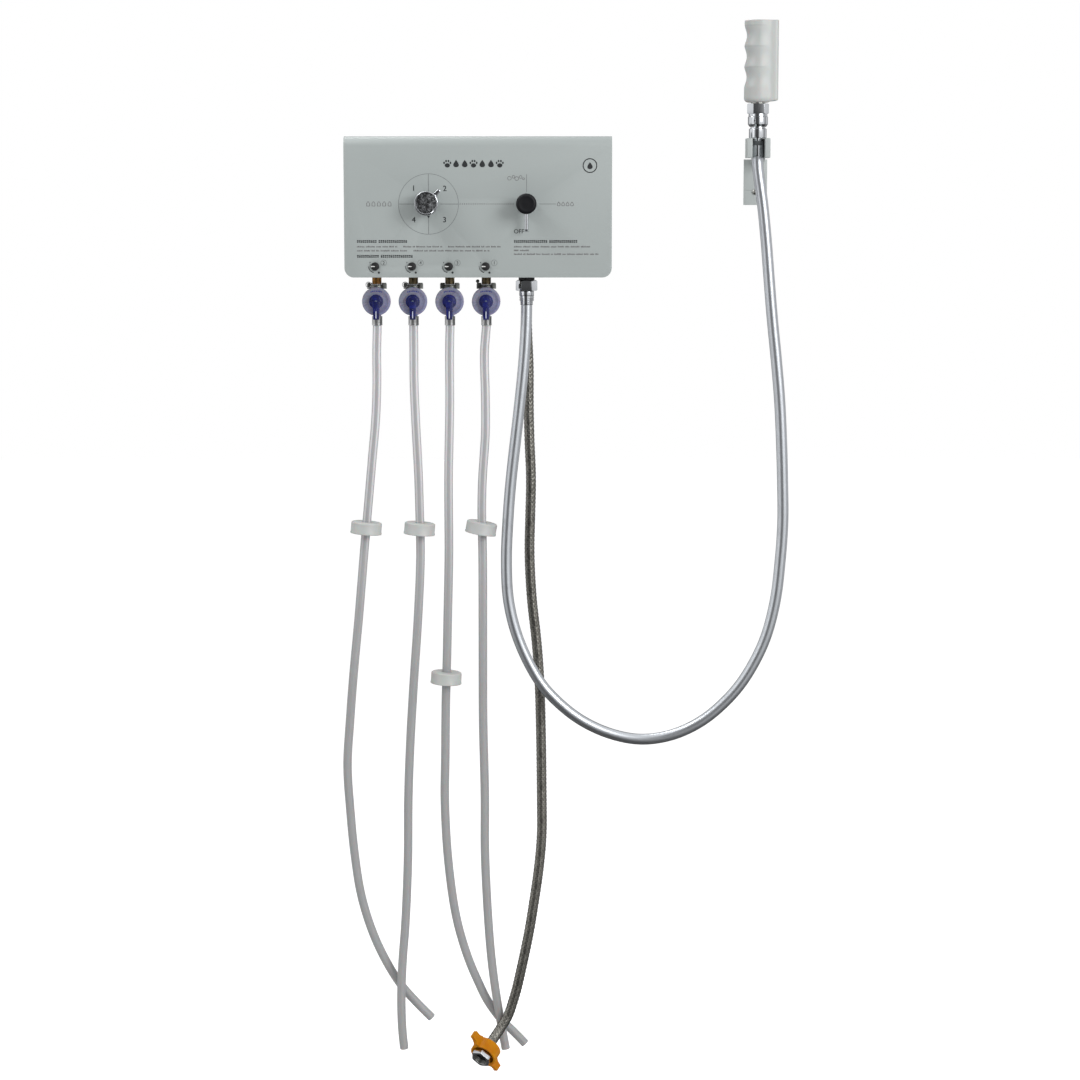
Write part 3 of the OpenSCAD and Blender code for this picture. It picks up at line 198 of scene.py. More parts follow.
class StudioLooks(PropertyGroup):
    key: power_of("Key lamp", "Power of the large lamp at the upper right", 44.0)
    fill: power_of("Fill lamp", "Power of the large lamp at the left", 6.0)
    edge_light: power_of("Edge lamp", "Power of the small lamp over the cover's upper left corner", 2.2)
    top: power_of("Top lamp", "Power of the lamp over and behind the unit", 14.0)
    surround: FloatProperty(
        name="Surround", description="Strength of the even light from all round", default=0.5
    )
    floor_drop: length_of("Floor", "How far the floor lies below the origin", 1215.0)


# ---- finishes ----


def looks(group):
    """What a user may change about one group of pieces."""
    return getattr(bpy.context.scene, "bath_" + group)


def shade_of(colour, factor):
    """A darker or lighter shade of a colour."""
    return tuple(min(1.0, c * factor) for c in colour)


class Value:
    """A number in a node tree; a sum, product or comparison of it adds the node that works it out."""

    def __init__(self, tree, socket):
        self.tree, self.socket = tree, socket

    def __add__(self, other):
        return self.tree.math("ADD", self, other)

    def __sub__(self, other):
        return self.tree.math("SUBTRACT", self, other)

    def __rsub__(self, other):
        return self.tree.math("SUBTRACT", other, self)

    def __mul__(self, other):
        return self.tree.math("MULTIPLY", self, other)

    def __truediv__(self, other):
        return self.tree.math("DIVIDE", self, other)

    def __pow__(self, other):
        return self.tree.math("POWER", self, other)

    def __gt__(self, other):
        return self.tree.math("GREATER_THAN", self, other)

    def __abs__(self):
        return self.tree.math("ABSOLUTE", self)

    def sine(self):
        return self.tree.math("SINE", self)

    def cosine(self):
        return self.tree.math("COSINE", self)

    def spread(self, low, high, start=0.0, end=1.0, **settings):
        """The value, carried from the span start to end over to the span low to high."""
        spans = {"Value": self, "From Min": start, "From Max": end, "To Min": low, "To Max": high}
        return self.tree.out("ShaderNodeMapRange", spans, **settings)

    def share(self, start, end):
        """How far the value has come from start to end, 0 to 1."""
        return self.spread(0.0, 1.0, start, end)


class Tree:
    """A node tree being made."""

    def __init__(self, tree):
        self.tree = tree
        tree.nodes.clear()

    def node(self, kind, inputs=None, **settings):
        made = self.tree.nodes.new(kind)
        for key, value in settings.items():
            setattr(made, key, value)
        for key, value in (inputs or {}).items():
            value = value.socket if isinstance(value, Value) else value
            if isinstance(value, bpy.types.NodeSocket):
                self.tree.links.new(value, made.inputs[key])
            else:
                made.inputs[key].default_value = value
        return made

    def out(self, kind, inputs=None, socket=0, **settings):
        """What comes out of a new node."""
        return Value(self, self.node(kind, inputs, **settings).outputs[socket])

    def math(self, operation, first, second=0.0, third=0.0):
        return self.out("ShaderNodeMath", {0: first, 1: second, 2: third}, operation=operation)

    def ramp(self, value, *stops):
        """A grey that follows stops of (place from 0 to 1, brightness)."""
        made = self.node("ShaderNodeValToRGB", {0: value})
        made.color_ramp.interpolation = "EASE"
        marks = made.color_ramp.elements
        marks[0].position, marks[-1].position = stops[0][0], stops[-1][0]
        for place, _ in stops[1:-1]:
            marks.new(place)
        for mark, (_, grey) in zip(marks, stops):
            mark.color = (grey, grey, grey, 1.0)
        return Value(self, made.outputs[0])

    def apart(self, vector):
        return [Value(self, socket) for socket in self.node("ShaderNodeSeparateXYZ", {0: vector}).outputs]


class Finish(Tree):
    """A material being made: one principled shader, and the nodes that drive it."""

    def __init__(self, name, colour, roughness, metallic=0.0, **shader):
        self.colour = colour
        self.material = bpy.data.materials.new(name)
        self.material.use_nodes = True
        self.material.diffuse_color = (*colour, 1.0)
        super().__init__(self.material.node_tree)
        inputs = {"Base Color": (*colour, 1.0), "Roughness": roughness, "Metallic": metallic}
        inputs.update((key.replace("_", " "), value) for key, value in shader.items())
        self.shader = self.node("ShaderNodeBsdfPrincipled", inputs)
        self.outlet = self.node("ShaderNodeOutputMaterial", {"Surface": self.shader.outputs[0]})
        self.place = self.out("ShaderNodeTexCoord", socket="Object")

    def follow(self, attribute):
        """Patterns follow a piece's own coordinates instead of the place in the room."""
        self.place = self.out("ShaderNodeAttribute", socket="Vector", attribute_name=attribute)
        return self

    def drawn_out(self, share):
        """The place with its lengthwise part shrunk to a share, which draws a pattern out along a hose."""
        inputs = {"Vector": self.place, "Scale": (1.0, 1.0, share)}
        return self.out("ShaderNodeMapping", inputs, vector_type="POINT")

    def noise(self, scale, detail=3.0, place=None, distortion=0.0):
        inputs = {"Vector": place or self.place, "Scale": scale, "Detail": detail, "Distortion": distortion}
        return self.out("ShaderNodeTexNoise", inputs, "Fac")

    def edge_on(self):
        """0 where the surface faces the eye, 1 where it is seen edge-on."""
        return self.out("ShaderNodeLayerWeight", {"Blend": 0.5}, "Facing")

    def mix(self, share, first, second, blend="MIX"):
        """Two colours mixed; each is a colour, a value, or a number that shades the finish's own colour."""
        inputs = {0: share}
        for slot, tone in ((6, first), (7, second)):
            if isinstance(tone, float):
                tone = shade_of(self.colour, tone)
            inputs[slot] = tone if isinstance(tone, Value) else (*tone, 1.0)
        return self.out("ShaderNodeMix", inputs, 2, data_type="RGBA", blend_type=blend)

    def set(self, socket, value):
        self.tree.links.new(value.socket, self.shader.inputs[socket])

    def painted(self, tone, rough):
        self.set("Base Color", tone)
        self.set("Roughness", rough)

    def bump(self, height, distance, strength):
        """Adds a relief on top of any relief that is there."""
        inputs = {"Height": height, "Distance": distance * MM, "Strength": strength}
        made = self.node("ShaderNodeBump", inputs)
        normal = self.shader.inputs["Normal"]
        if normal.is_linked:
            self.tree.links.new(normal.links[0].from_socket, made.inputs["Normal"])
        self.tree.links.new(made.outputs[0], normal)
        return self


def powder_coat(name, colour):
    """Satin powder coat: fine orange peel, faint cloudiness, and a little wear on what stands proud."""
    made = Finish(name, colour, 0.44, Specular_IOR_Level=0.5)
    grain = made.noise(900.0, 2.0)
    tone = made.mix(grain.spread(0.0, 0.10), made.mix(made.noise(5.0, 4.0), 0.95, 1.05), 0.82)
    made.painted(tone, made.noise(60.0).spread(0.40, 0.54))
    return made.bump(made.noise(420.0, 2.0), 0.05, 0.5).bump(grain, 0.02, 0.35).material


def zinc_sheet(name):
    """Galvanised sheet with its crystal spangle."""
    made = Finish(name, (0.52, 0.54, 0.55), 0.42, 1.0)
    cell = made.apart(made.out("ShaderNodeTexVoronoi", {"Vector": made.place, "Scale": 110.0}, "Color"))[0]
    tone = made.mix(cell, (0.40, 0.42, 0.44), (0.62, 0.64, 0.65))
    tone = made.mix(made.noise(22.0, 4.0).spread(0.0, 0.4), tone, (0.44, 0.45, 0.45))
    made.painted(tone, cell.spread(0.32, 0.55))
    return made.bump(made.noise(600.0, 2.0), 0.03, 0.4).material


def plain_metal(name, colour, roughness, tarnish=0.7):
    """Machined or cast metal: fine grain and cloudy tarnish."""
    made = Finish(name, colour, roughness, 1.0)
    cloud = made.noise(70.0, 4.0, distortion=0.4)
    fine = made.noise(500.0)
    made.painted(
        made.mix(cloud.share(0.35, 0.75), colour, tarnish), fine.spread(roughness * 0.75, roughness * 1.35)
    )
    return made.bump(fine, 0.02, 0.3).material


def chrome(name, colour):
    """Chrome plate: nearly a mirror, with faint waviness and wiped marks."""
    made = Finish(name, colour, 0.07, 1.0)
    smudge = made.noise(45.0, 5.0, distortion=1.2)
    made.painted(made.mix(smudge.share(0.45, 0.8), 1.0, 0.82), smudge.spread(0.05, 0.15, 0.3, 0.8))
    return made.bump(made.noise(120.0, 2.0), 0.05, 0.35).material


def dial_metal(name, colour):
    """Dished face of the selector: dark polished metal with a close, cloudy mottle of painted reflection in its
    colour, which also varies its roughness.
    """
    made = Finish(name, shade_of(colour, 0.3), 0.2, 0.7)
    reflection_mottle = made.noise(430.0, distortion=1.0)
    # Painted reflection: a close mottle of dark and pale in the face's colour
    tone = made.mix(reflection_mottle.share(0.44, 0.66), shade_of(colour, 0.09), shade_of(colour, 0.6))
    made.painted(tone, reflection_mottle.spread(0.14, 0.34))
    return made.bump(made.noise(240.0, 2.0), 1.2, 0.35).material


def stub_bronze(name):
    """Oxidised bronze with cut threads and painted shade in their grooves; the first stub on the left is still
    bright.
    """
    made = Finish(name, (0.20, 0.13, 0.07), 0.36, 1.0)
    x, _, z = made.apart(made.place)
    cloud = made.noise(120.0, 4.0, distortion=0.8)
    aged = made.mix(cloud.share(0.35, 0.7), (0.36, 0.29, 0.17), (0.16, 0.12, 0.07))
    bright = made.mix(cloud.spread(0.0, 0.6), (0.62, 0.33, 0.10), (0.40, 0.19, 0.06))
    tone = made.mix(x.spread(1.0, 0.0, -0.112, -0.104), aged, bright)
    # Painted shade in the grooves between the threads
    cut = abs((z * (math.pi / (STUB_PITCH * MM))).sine())
    tone = made.mix(cut.spread(0.0, 0.75, 0.75, 1.0), tone, (0.03, 0.02, 0.014))
    made.painted(tone, cloud.spread(0.28, 0.5))
    return made.bump(cloud, 0.04, 0.4).material


def moulded(name, colour, roughness, grain, depth, cloud, **shader):
    """Moulded plastic: even colour with faint flow marks, and a fine skin."""
    made = Finish(name, colour, roughness, **shader)
    fine = made.noise(grain)
    tone = made.mix(made.noise(18.0, 4.0, distortion=1.5), 1 - cloud, 1 + cloud)
    made.painted(tone, fine.spread(roughness * 0.8, min(1.0, roughness * 1.25)))
    return made.bump(fine, depth, 0.4).material


def valve_plastic(name, colour):
    """Translucent shut-off valve: grey and in painted shade at its upper left, bluer and in painted light at its
    lower right, with painted shade round its hub and in its fine radial ribs.
    """
    made = Finish(
        name, colour, 0.26, Transmission_Weight=0.06, IOR=1.45, Subsurface_Weight=0.2, Subsurface_Scale=0.003
    ).follow("own_place")
    x, _, z = made.apart(made.place)
    radius = (x * x + z * z) ** 0.5
    flow = made.noise(260.0, distortion=0.8)
    side = (x - z).share(-0.022, 0.024)
    # Painted shade round the hub, under the lever
    tone = made.mix(radius.share(0.008, 0.019), 0.82, 1.0)
    # Painted shade over the upper left, which is grey, and painted light over the lower right, which is bluer
    tone = made.mix(side, made.mix(0.45, tone, (0.24, 0.25, 0.28)), made.mix(0.30, tone, (0.27, 0.27, 0.56)))
    # Painted shade in the fine radial ribs, over the lower left only
    rib = abs((made.math("ARCTAN2", z, x) * 14.0).sine()) ** 6.0
    rib_shade_area = side.spread(1.0, 0.0, 0.2, 0.75) * z.spread(1.0, 0.0, -0.006, 0.002)
    ribs = rib * rib_shade_area * radius.share(0.009, 0.0105)
    tone = made.mix(ribs * 0.55, tone, (0.12, 0.12, 0.22))
    made.painted(made.mix(flow.spread(0.0, 0.14), tone, (0.62, 0.63, 0.72)), flow.spread(0.2, 0.36))
    return made.bump(flow, 0.05, 0.4).bump(ribs, 0.25, 0.5).material


def lever_plastic(name, colour):
    """Glossy blue lever with darker hollows of its moulding."""
    made = Finish(name, colour, 0.26, Coat_Weight=0.35, Coat_Roughness=0.12)
    flow = made.noise(150.0, distortion=1.0)
    made.painted(made.mix(flow.share(0.3, 0.7), 0.45, 1.5), made.noise(800.0, 2.0).spread(0.2, 0.36))
    return made.bump(flow, 0.05, 0.35).material


def tube_plastic(name, colour):
    """Soft tubing: by the valves it is painted paler, with stripes of painted highlight and shade across it for
    its clear wall and bore; further down it is greyer, with painted light and shade across it.
    """
    made = Finish(
        name, colour, 0.3, IOR=1.4, Transmission_Weight=0.1, Subsurface_Weight=0.2, Subsurface_Scale=0.005
    ).follow("straightened")
    drawn = made.noise(900.0, place=made.drawn_out(0.012))
    cloud = made.noise(22.0, 4.0)
    edge = made.edge_on()
    # Painted light: by the valves the tube is painted paler, fading over its first half metre
    clear = made.apart(made.place)[2].spread(1.0, 0.0, 0.03, 0.50, interpolation_type="SMOOTHSTEP")
    # Stripes of painted highlight and shade across the tube, by how squarely it faces the eye, for its clear wall
    # and bore
    wall = made.ramp(
        edge, (0.0, 0.46), (0.05, 0.48), (0.13, 0.98), (0.33, 0.98), (0.47, 0.38), (0.62, 0.8), (0.8, 0.5),
        (1.0, 0.2),
    )
    # Painted light and shade across the tube further down: lighter a little in from its edges, darkest at them
    edge_light_and_shade = made.ramp(edge, (0.0, 0.84), (0.3, 0.82), (0.6, 0.90), (0.85, 1.0), (0.97, 0.74), (1.0, 0.7))
    tone = made.mix(cloud.spread(0.0, 0.3), made.mix(drawn.share(0.3, 0.7), 1.12, 1.3), 1.05)
    lower = made.mix(1.0, tone, edge_light_and_shade, "MULTIPLY")
    tone = made.mix(clear * 0.92, lower, made.mix(0.08, wall, (0.55, 0.55, 0.78)))
    made.painted(tone, cloud.spread(0.22, 0.4))
    return made.bump(drawn, 0.05, 0.25).material


def collar_nylon(name):
    """Clear collar round a tube's end: its ribs and the barb inside are painted as upright stripes of highlight
    and shade.
    """
    made = Finish(name, (0.5, 0.5, 0.5), 0.2, IOR=1.4, Transmission_Weight=0.1).follow("own_place")
    x, _, z = made.apart(made.place)
    # Upright stripes of painted highlight and shade across the collar, for its ribs and the barb inside
    painted_stripes = made.ramp(
        x.share(-0.0068, 0.0068),
        (0.0, 0.30), (0.09, 0.75), (0.24, 0.82), (0.34, 0.20), (0.56, 0.17), (0.64, 0.70), (0.72, 0.66),
        (0.80, 0.14), (0.95, 0.10), (1.0, 0.22),
    )
    # Over the collar's upper part the painted stripes are washed paler
    tone = made.mix(z.spread(1.0, 0.0, 0.0022, 0.0034), made.mix(0.55, painted_stripes, (0.74, 0.75, 0.76)), painted_stripes)
    flow = made.noise(300.0, distortion=0.8)
    made.painted(made.mix(flow.spread(0.0, 0.25), tone, (0.36, 0.40, 0.39)), flow.spread(0.14, 0.3))
    return made.bump(flow, 0.05, 0.3).material


def silver_hose(name, colour):
    """Silver sheath under a clear skin, drawn lengthwise, with rub marks and painted shade along its edges."""
    made = Finish(name, colour, 0.33, 0.9, Coat_Weight=0.12, Coat_Roughness=0.15).follow("straightened")
    drawn = made.noise(650.0, place=made.drawn_out(0.008))
    rub = made.noise(30.0, 5.0, distortion=0.8)
    tone = made.mix(drawn.share(0.3, 0.7), 0.88, 1.1)
    # Painted shade along the hose's edges, where it is seen edge-on
    tone = made.mix(made.edge_on().spread(0.0, 0.6, 0.72, 0.97), tone, 0.3)
    made.painted(made.mix(rub.spread(0.0, 0.7, 0.55, 0.85), tone, 0.72), rub.spread(0.29, 0.42))
    return made.bump(drawn, 0.04, 0.25).material


def braid_wire(name, colour):
    """Stainless braid: every strand is a flat bundle of fine wires, with painted shade between the wires and
    painted light and shade across the hose.
    """
    made = Finish(name, colour, 0.3, 1.0)
    strand, across = (
        made.out("ShaderNodeAttribute", socket="Fac", attribute_name=key) for key in ("strand", "across")
    )
    wires = abs((across * (4 * math.pi)).sine())
    lot = made.out("ShaderNodeTexWhiteNoise", {"W": strand}, "Value", noise_dimensions="1D")
    # Painted light and shade across the hose: brightest a little in from its middle, darkest where it is seen
    # edge-on
    stops = ((0.0, 0.72), (0.16, 0.8), (0.3, 1.0), (0.48, 0.85), (0.62, 0.22), (1.0, 0.12))
    curve = made.ramp(made.edge_on(), *stops)
    tone = made.mix(1.0, made.mix(lot, 0.70, 1.25), curve, "MULTIPLY")
    # Painted shade in the gaps between the wires
    made.painted(made.mix(wires.spread(0.0, 0.55, 1.0, 0.0), tone, 0.25), made.noise(300.0).spread(0.24, 0.4))
    return made.bump(wires, 0.12, 0.6).material


def amber_plastic(name, colour):
    """Amber moulded collar, deeper in colour where it is thick."""
    made = Finish(name, colour, 0.4, Subsurface_Weight=0.15, Subsurface_Scale=0.003, Specular_IOR_Level=0.14)
    deep = made.noise(45.0, 4.0, distortion=1.0)
    fine = made.noise(700.0)
    made.painted(made.mix(deep.share(0.4, 0.7), 1.0, (0.52, 0.17, 0.002)), fine.spread(0.26, 0.42))
    return made.bump(fine, 0.04, 0.4).bump(deep, 0.15, 0.15).material


def grip_plastic(name, colour):
    """Off-white moulded grip: thin lines of painted shade at the crests between the finger scallops, and painted
    shade over the left of its round part.
    """
    made = Finish(name, colour, 0.4, Subsurface_Weight=0.15, Subsurface_Scale=0.006)
    x, _, z = made.apart(made.place)
    fine = made.noise(450.0)
    # Painted shade in thin lines just under the crests between the finger scallops
    step = made.math("FRACT", (z - CREST_SHADE_Z * MM) * (1 / (SCALLOP_STEP * MM)))
    crease_shade = abs(step - 0.5).share(0.46, 0.495) * 0.16
    crease_shade = crease_shade * x.spread(1.0, 0.0, 0.360, 0.366) * z.share(0.160, 0.165)
    tone = made.mix(made.noise(18.0, 4.0, distortion=1.5), 0.97, 1.03)
    # Painted shade over the left of the round part
    tone = made.mix(x.share(0.344, 0.369), made.mix(0.22, tone, (0.30, 0.31, 0.32)), tone)
    made.painted(made.mix(crease_shade, tone, (0.10, 0.10, 0.11)), fine.spread(0.32, 0.5))
    return made.bump(fine, 0.06, 0.4).material


def printed_ink(name, colour):
    """Screen-printed ink: slightly uneven cover over the coat."""
    made = Finish(name, colour, 0.5)
    thin = made.noise(500.0)
    made.set("Base Color", made.mix(thin.spread(0.0, 0.3), 1.0, 2.2))
    return made.bump(thin, 0.01, 0.3).material


# What makes each finish, where its colour is set (a user's look or a swatch), and its other numbers
RECIPES = {
    "powder_coat": (powder_coat, ("panel", "coat")),
    "dark_ink": (printed_ink, ("panel", "ink")),
    "fine_ink": (printed_ink, ("panel", "fine_ink")),
    "text_ink": (printed_ink, ("panel", "text_ink")),
    "chrome": (chrome, ("controls", "chrome")),
    "dial_metal": (dial_metal, ("controls", "chrome")),
    "valve_plastic": (valve_plastic, ("controls", "disc")),
    "lever_plastic": (lever_plastic, ("controls", "lever")),
    "tube_plastic": (tube_plastic, ("hoses", "tube")),
    "braid_wire": (braid_wire, ("hoses", "steel")),
    "silver_hose": (silver_hose, ("hoses", "silver")),
    "amber_plastic": (amber_plastic, ("sprayer", "wing")),
    "grip_plastic": (grip_plastic, ("sprayer", "grip")),
    "zinc_sheet": (zinc_sheet, None),
    "stub_bronze": (stub_bronze, None),
    "collar_nylon": (collar_nylon, None),
    "fixing_steel": (plain_metal, None, (0.56, 0.56, 0.54), 0.32, (0.42, 0.41, 0.36)),
    "brass": (plain_metal, None, (0.50, 0.32, 0.11), 0.34, (0.23, 0.13, 0.05)),
    "copper": (plain_metal, None, (0.60, 0.30, 0.19), 0.36, (0.28, 0.14, 0.10)),
    "clamp_zinc": (plain_metal, None, (0.20, 0.21, 0.20), 0.4, (0.08, 0.08, 0.075)),
    "spray_face": (plain_metal, None, (0.34, 0.35, 0.36), 0.38),
    "black_gloss": (moulded, ("controls", "knob"), 0.5, 500.0, 0.03, 0.15, {"Specular_IOR_Level": 0.25}),
    "black_matte": (moulded, (24, 25, 27), 0.5, 800.0, 0.05, 0.2),
    "black_rubber": (moulded, (30, 31, 33), 0.72, 600.0, 0.08, 0.2),
    "cap_plastic": (
        moulded, ("hoses", "cap"), 0.42, 500.0, 0.05, 0.03, {"Subsurface_Weight": 0.2, "Subsurface_Scale": 0.005}
    ),
    "clear_tube": (moulded, (196, 198, 200), 0.25, 300.0, 0.04, 0.05, {"Transmission_Weight": 0.35, "IOR": 1.3}),
    "holder_plastic": (moulded, ("sprayer", "holder"), 0.44, 500.0, 0.05, 0.03),
    "hose_core": (moulded, (40, 41, 42), 0.6, 900.0, 0.05, 0.2),
    # A pale bar along each lever's rib: a painted highlight
    "lever_mark": (moulded, (214, 218, 240), 0.35, 900.0, 0.02, 0.05),
    "loop_clear": (moulded, (232, 233, 236), 0.2, 300.0, 0.03, 0.04, {"Transmission_Weight": 0.3, "IOR": 1.3}),
    "mark_white": (moulded, (222, 224, 222), 0.45, 900.0, 0.02, 0.05),
    "nozzle_silicone": (moulded, (96, 100, 104), 0.55, 700.0, 0.04, 0.1),
    "pin_grey": (moulded, (98, 108, 122), 0.4, 900.0, 0.02, 0.05),
    "ring_grey": (moulded, (84, 88, 90), 0.4, 600.0, 0.05, 0.1),
    "valve_mark": (moulded, (58, 60, 140), 0.5, 900.0, 0.02, 0.1),
}
FINISHES = {}


def finish_of(name):
    """The named finish, made when a piece first asks for it."""
    if name not in FINISHES:
        maker, source, *numbers = RECIPES[name]
        shader = numbers.pop() if numbers and isinstance(numbers[-1], dict) else {}
        if source:
            swatch = len(source) == 3
            numbers.insert(0, paint(*source) if swatch else tuple(getattr(looks(source[0]), source[1])))
        FINISHES[name] = maker(name, *numbers, **shader)
    return FINISHES[name]


# ---- making meshes ----


def skin(rings, wrap=False):
    """Points and faces of a surface through rings of points; a ring of one point is a pole."""
    points, starts = [], []
    for ring in rings:
        starts.append(len(points))
        points.extend(ring)
    faces = []
    order = list(range(len(rings)))
    if wrap:
        order.append(0)
    for a, b in zip(order[:-1], order[1:]):
        low, high, count, other = starts[a], starts[b], len(rings[a]), len(rings[b])
        for i in range(max(count, other)):
            j = (i + 1) % max(count, other)
            if count == 1:
                faces.append((low, high + j, high + i))
            elif other == 1:
                faces.append((low + i, low + j, high))
            else:
                faces.append((low + i, low + j, high + j, high + i))
    return points, faces


def circle(x, y, radius, sides):
    turns = [TURN * i / sides for i in range(sides)]
    return [(x + radius * math.cos(turn), y + radius * math.sin(turn)) for turn in turns]


def arc(x, y, size, start, end, steps=6):
    """Points of a round corner, by its centre, size and angles in degrees."""
    angles = [math.radians(start + (end - start) * k / steps) for k in range(steps + 1)]
    return [(x + size * math.cos(a), y + size * math.sin(a)) for a in angles]


def turned(profile, sides=72, wrap=False):
    """A turned part about its own Z: the profile gives (radius, height) from one end to the other."""
    rings = []
    for radius, height in profile:
        around = circle(0.0, 0.0, radius, sides) if radius else [(0.0, 0.0)]
        rings.append([(x, y, height) for x, y in around])
    return skin(rings, wrap)


def extruded(outline, back, front):
    """A prism along Z between two heights from a closed outline of (x, y) points."""
    count = len(outline)
    points = [(x, y, z) for z in (back, front) for x, y in outline]
    faces = [tuple(reversed(range(count))), tuple(range(count, 2 * count))]
    faces += [(i, (i + 1) % count, count + (i + 1) % count, count + i) for i in range(count)]
    return points, faces


def moved(shape, matrix):
    """A shape carried to its place."""
    points, faces = shape
    return [tuple(matrix @ Vector(p)) for p in points], faces


def together(*shapes):
    """Several shapes as one."""
    points, faces = [], []
    for shape_points, shape_faces in shapes:
        start = len(points)
        points.extend(shape_points)
        faces.extend(tuple(start + i for i in face) for face in shape_faces)
    return points, faces


def upright(x, y, z=0.0):
    return Matrix.Translation((x, y, z))


def facing_out(x, z, y=0.0):
    """Turns a part made about Z so that it stands out of the panel, along -Y, at a place on it."""
    return upright(x, y, z) @ Matrix.Rotation(math.radians(90), 4, "X")


def mesh_of(name, shape):
    points, faces = shape
    mesh = bpy.data.meshes.new(name)
    mesh.from_pydata([tuple(c * MM for c in p) for p in points], [], faces)
    mesh.update()
    return mesh


def own_place(mesh, centres):
    """Stores each point's place from the nearest of the pieces' own centres, for patterns that stay with them."""
    places = np.empty(len(mesh.vertices) * 3)
    mesh.vertices.foreach_get("co", places)
    places = places.reshape(-1, 3)
    centres = np.array(centres) * MM
    nearest = np.abs(places[:, None, 0] - centres[None, :, 0]).argmin(axis=1)
    layer = mesh.attributes.new("own_place", "FLOAT_VECTOR", "POINT")
    layer.data.foreach_set("vector", (places - centres[nearest]).ravel())


def bevelled(work, edge, sharpest, steps):
    """Rounds off the edges of a mesh that are sharper than an angle in degrees."""
    limit = math.radians(sharpest)
    edges = [e for e in work.edges if len(e.link_faces) == 2 and e.calc_face_angle(0.0) > limit]
    bmesh.ops.bevel(
        work, geom=edges, offset=edge * MM, segments=steps, profile=0.5, affect="EDGES", clamp_overlap=True
    )


def settle(mesh, name, finish, slot, body="wall_unit", nodes=(), sharp=34.0, blend=None):
    """Cleans a mesh, gives it its finish, and sets it on its body in place of the nodes it stands for."""
    work = bmesh.new()
    work.from_mesh(mesh)
    bmesh.ops.remove_doubles(work, verts=work.verts, dist=WELD)
    bmesh.ops.recalc_face_normals(work, faces=work.faces)
    work.to_mesh(mesh)
    work.free()
    mesh.materials.clear()
    mesh.materials.append(finish_of(finish))
    mesh.polygons.foreach_set("material_index", [0] * len(mesh.polygons))
    mesh.polygons.foreach_set("use_smooth", [True] * len(mesh.polygons))
    mesh.set_sharp_from_angle(angle=math.radians(sharp))
    mesh.name = name
    piece = bpy.data.objects.new(name, mesh)
    bpy.context.scene.collection.objects.link(piece)
    if blend:
        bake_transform(piece)
    else:
        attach(piece, body)
    if nodes:
        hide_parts(*nodes)
    return piece


def made_piece(name, shape, finish, slot, body="wall_unit", nodes=(), sharp=34.0):
    """A piece made from points and faces in millimetres."""
    return settle(mesh_of(name, shape), name, finish, slot, body, nodes, sharp)


def softened(node, name, edge, finish, slot, body="wall_unit", centres=None, sharpest=24.0, steps=2):
    """A copy of a CAD node with its cut edges rounded off."""
    work = bmesh.new()
    work.from_mesh(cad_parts[node].data)
    bmesh.ops.remove_doubles(work, verts=work.verts, dist=10 * WELD)
    bmesh.ops.dissolve_limit(work, angle_limit=math.radians(0.6), verts=work.verts, edges=work.edges)
    bevelled(work, edge, sharpest, steps)
    mesh = bpy.data.meshes.new(name)
    work.to_mesh(mesh)
    work.free()
    if centres:
        own_place(mesh, centres)
    return settle(mesh, name, finish, slot, body, (node,))


def refinish(finish, *nodes):
    """Gives CAD nodes whose shape is already right their finish."""
    for node in nodes:
        for material_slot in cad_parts[node].material_slots:
            material_slot.material = finish_of(finish)


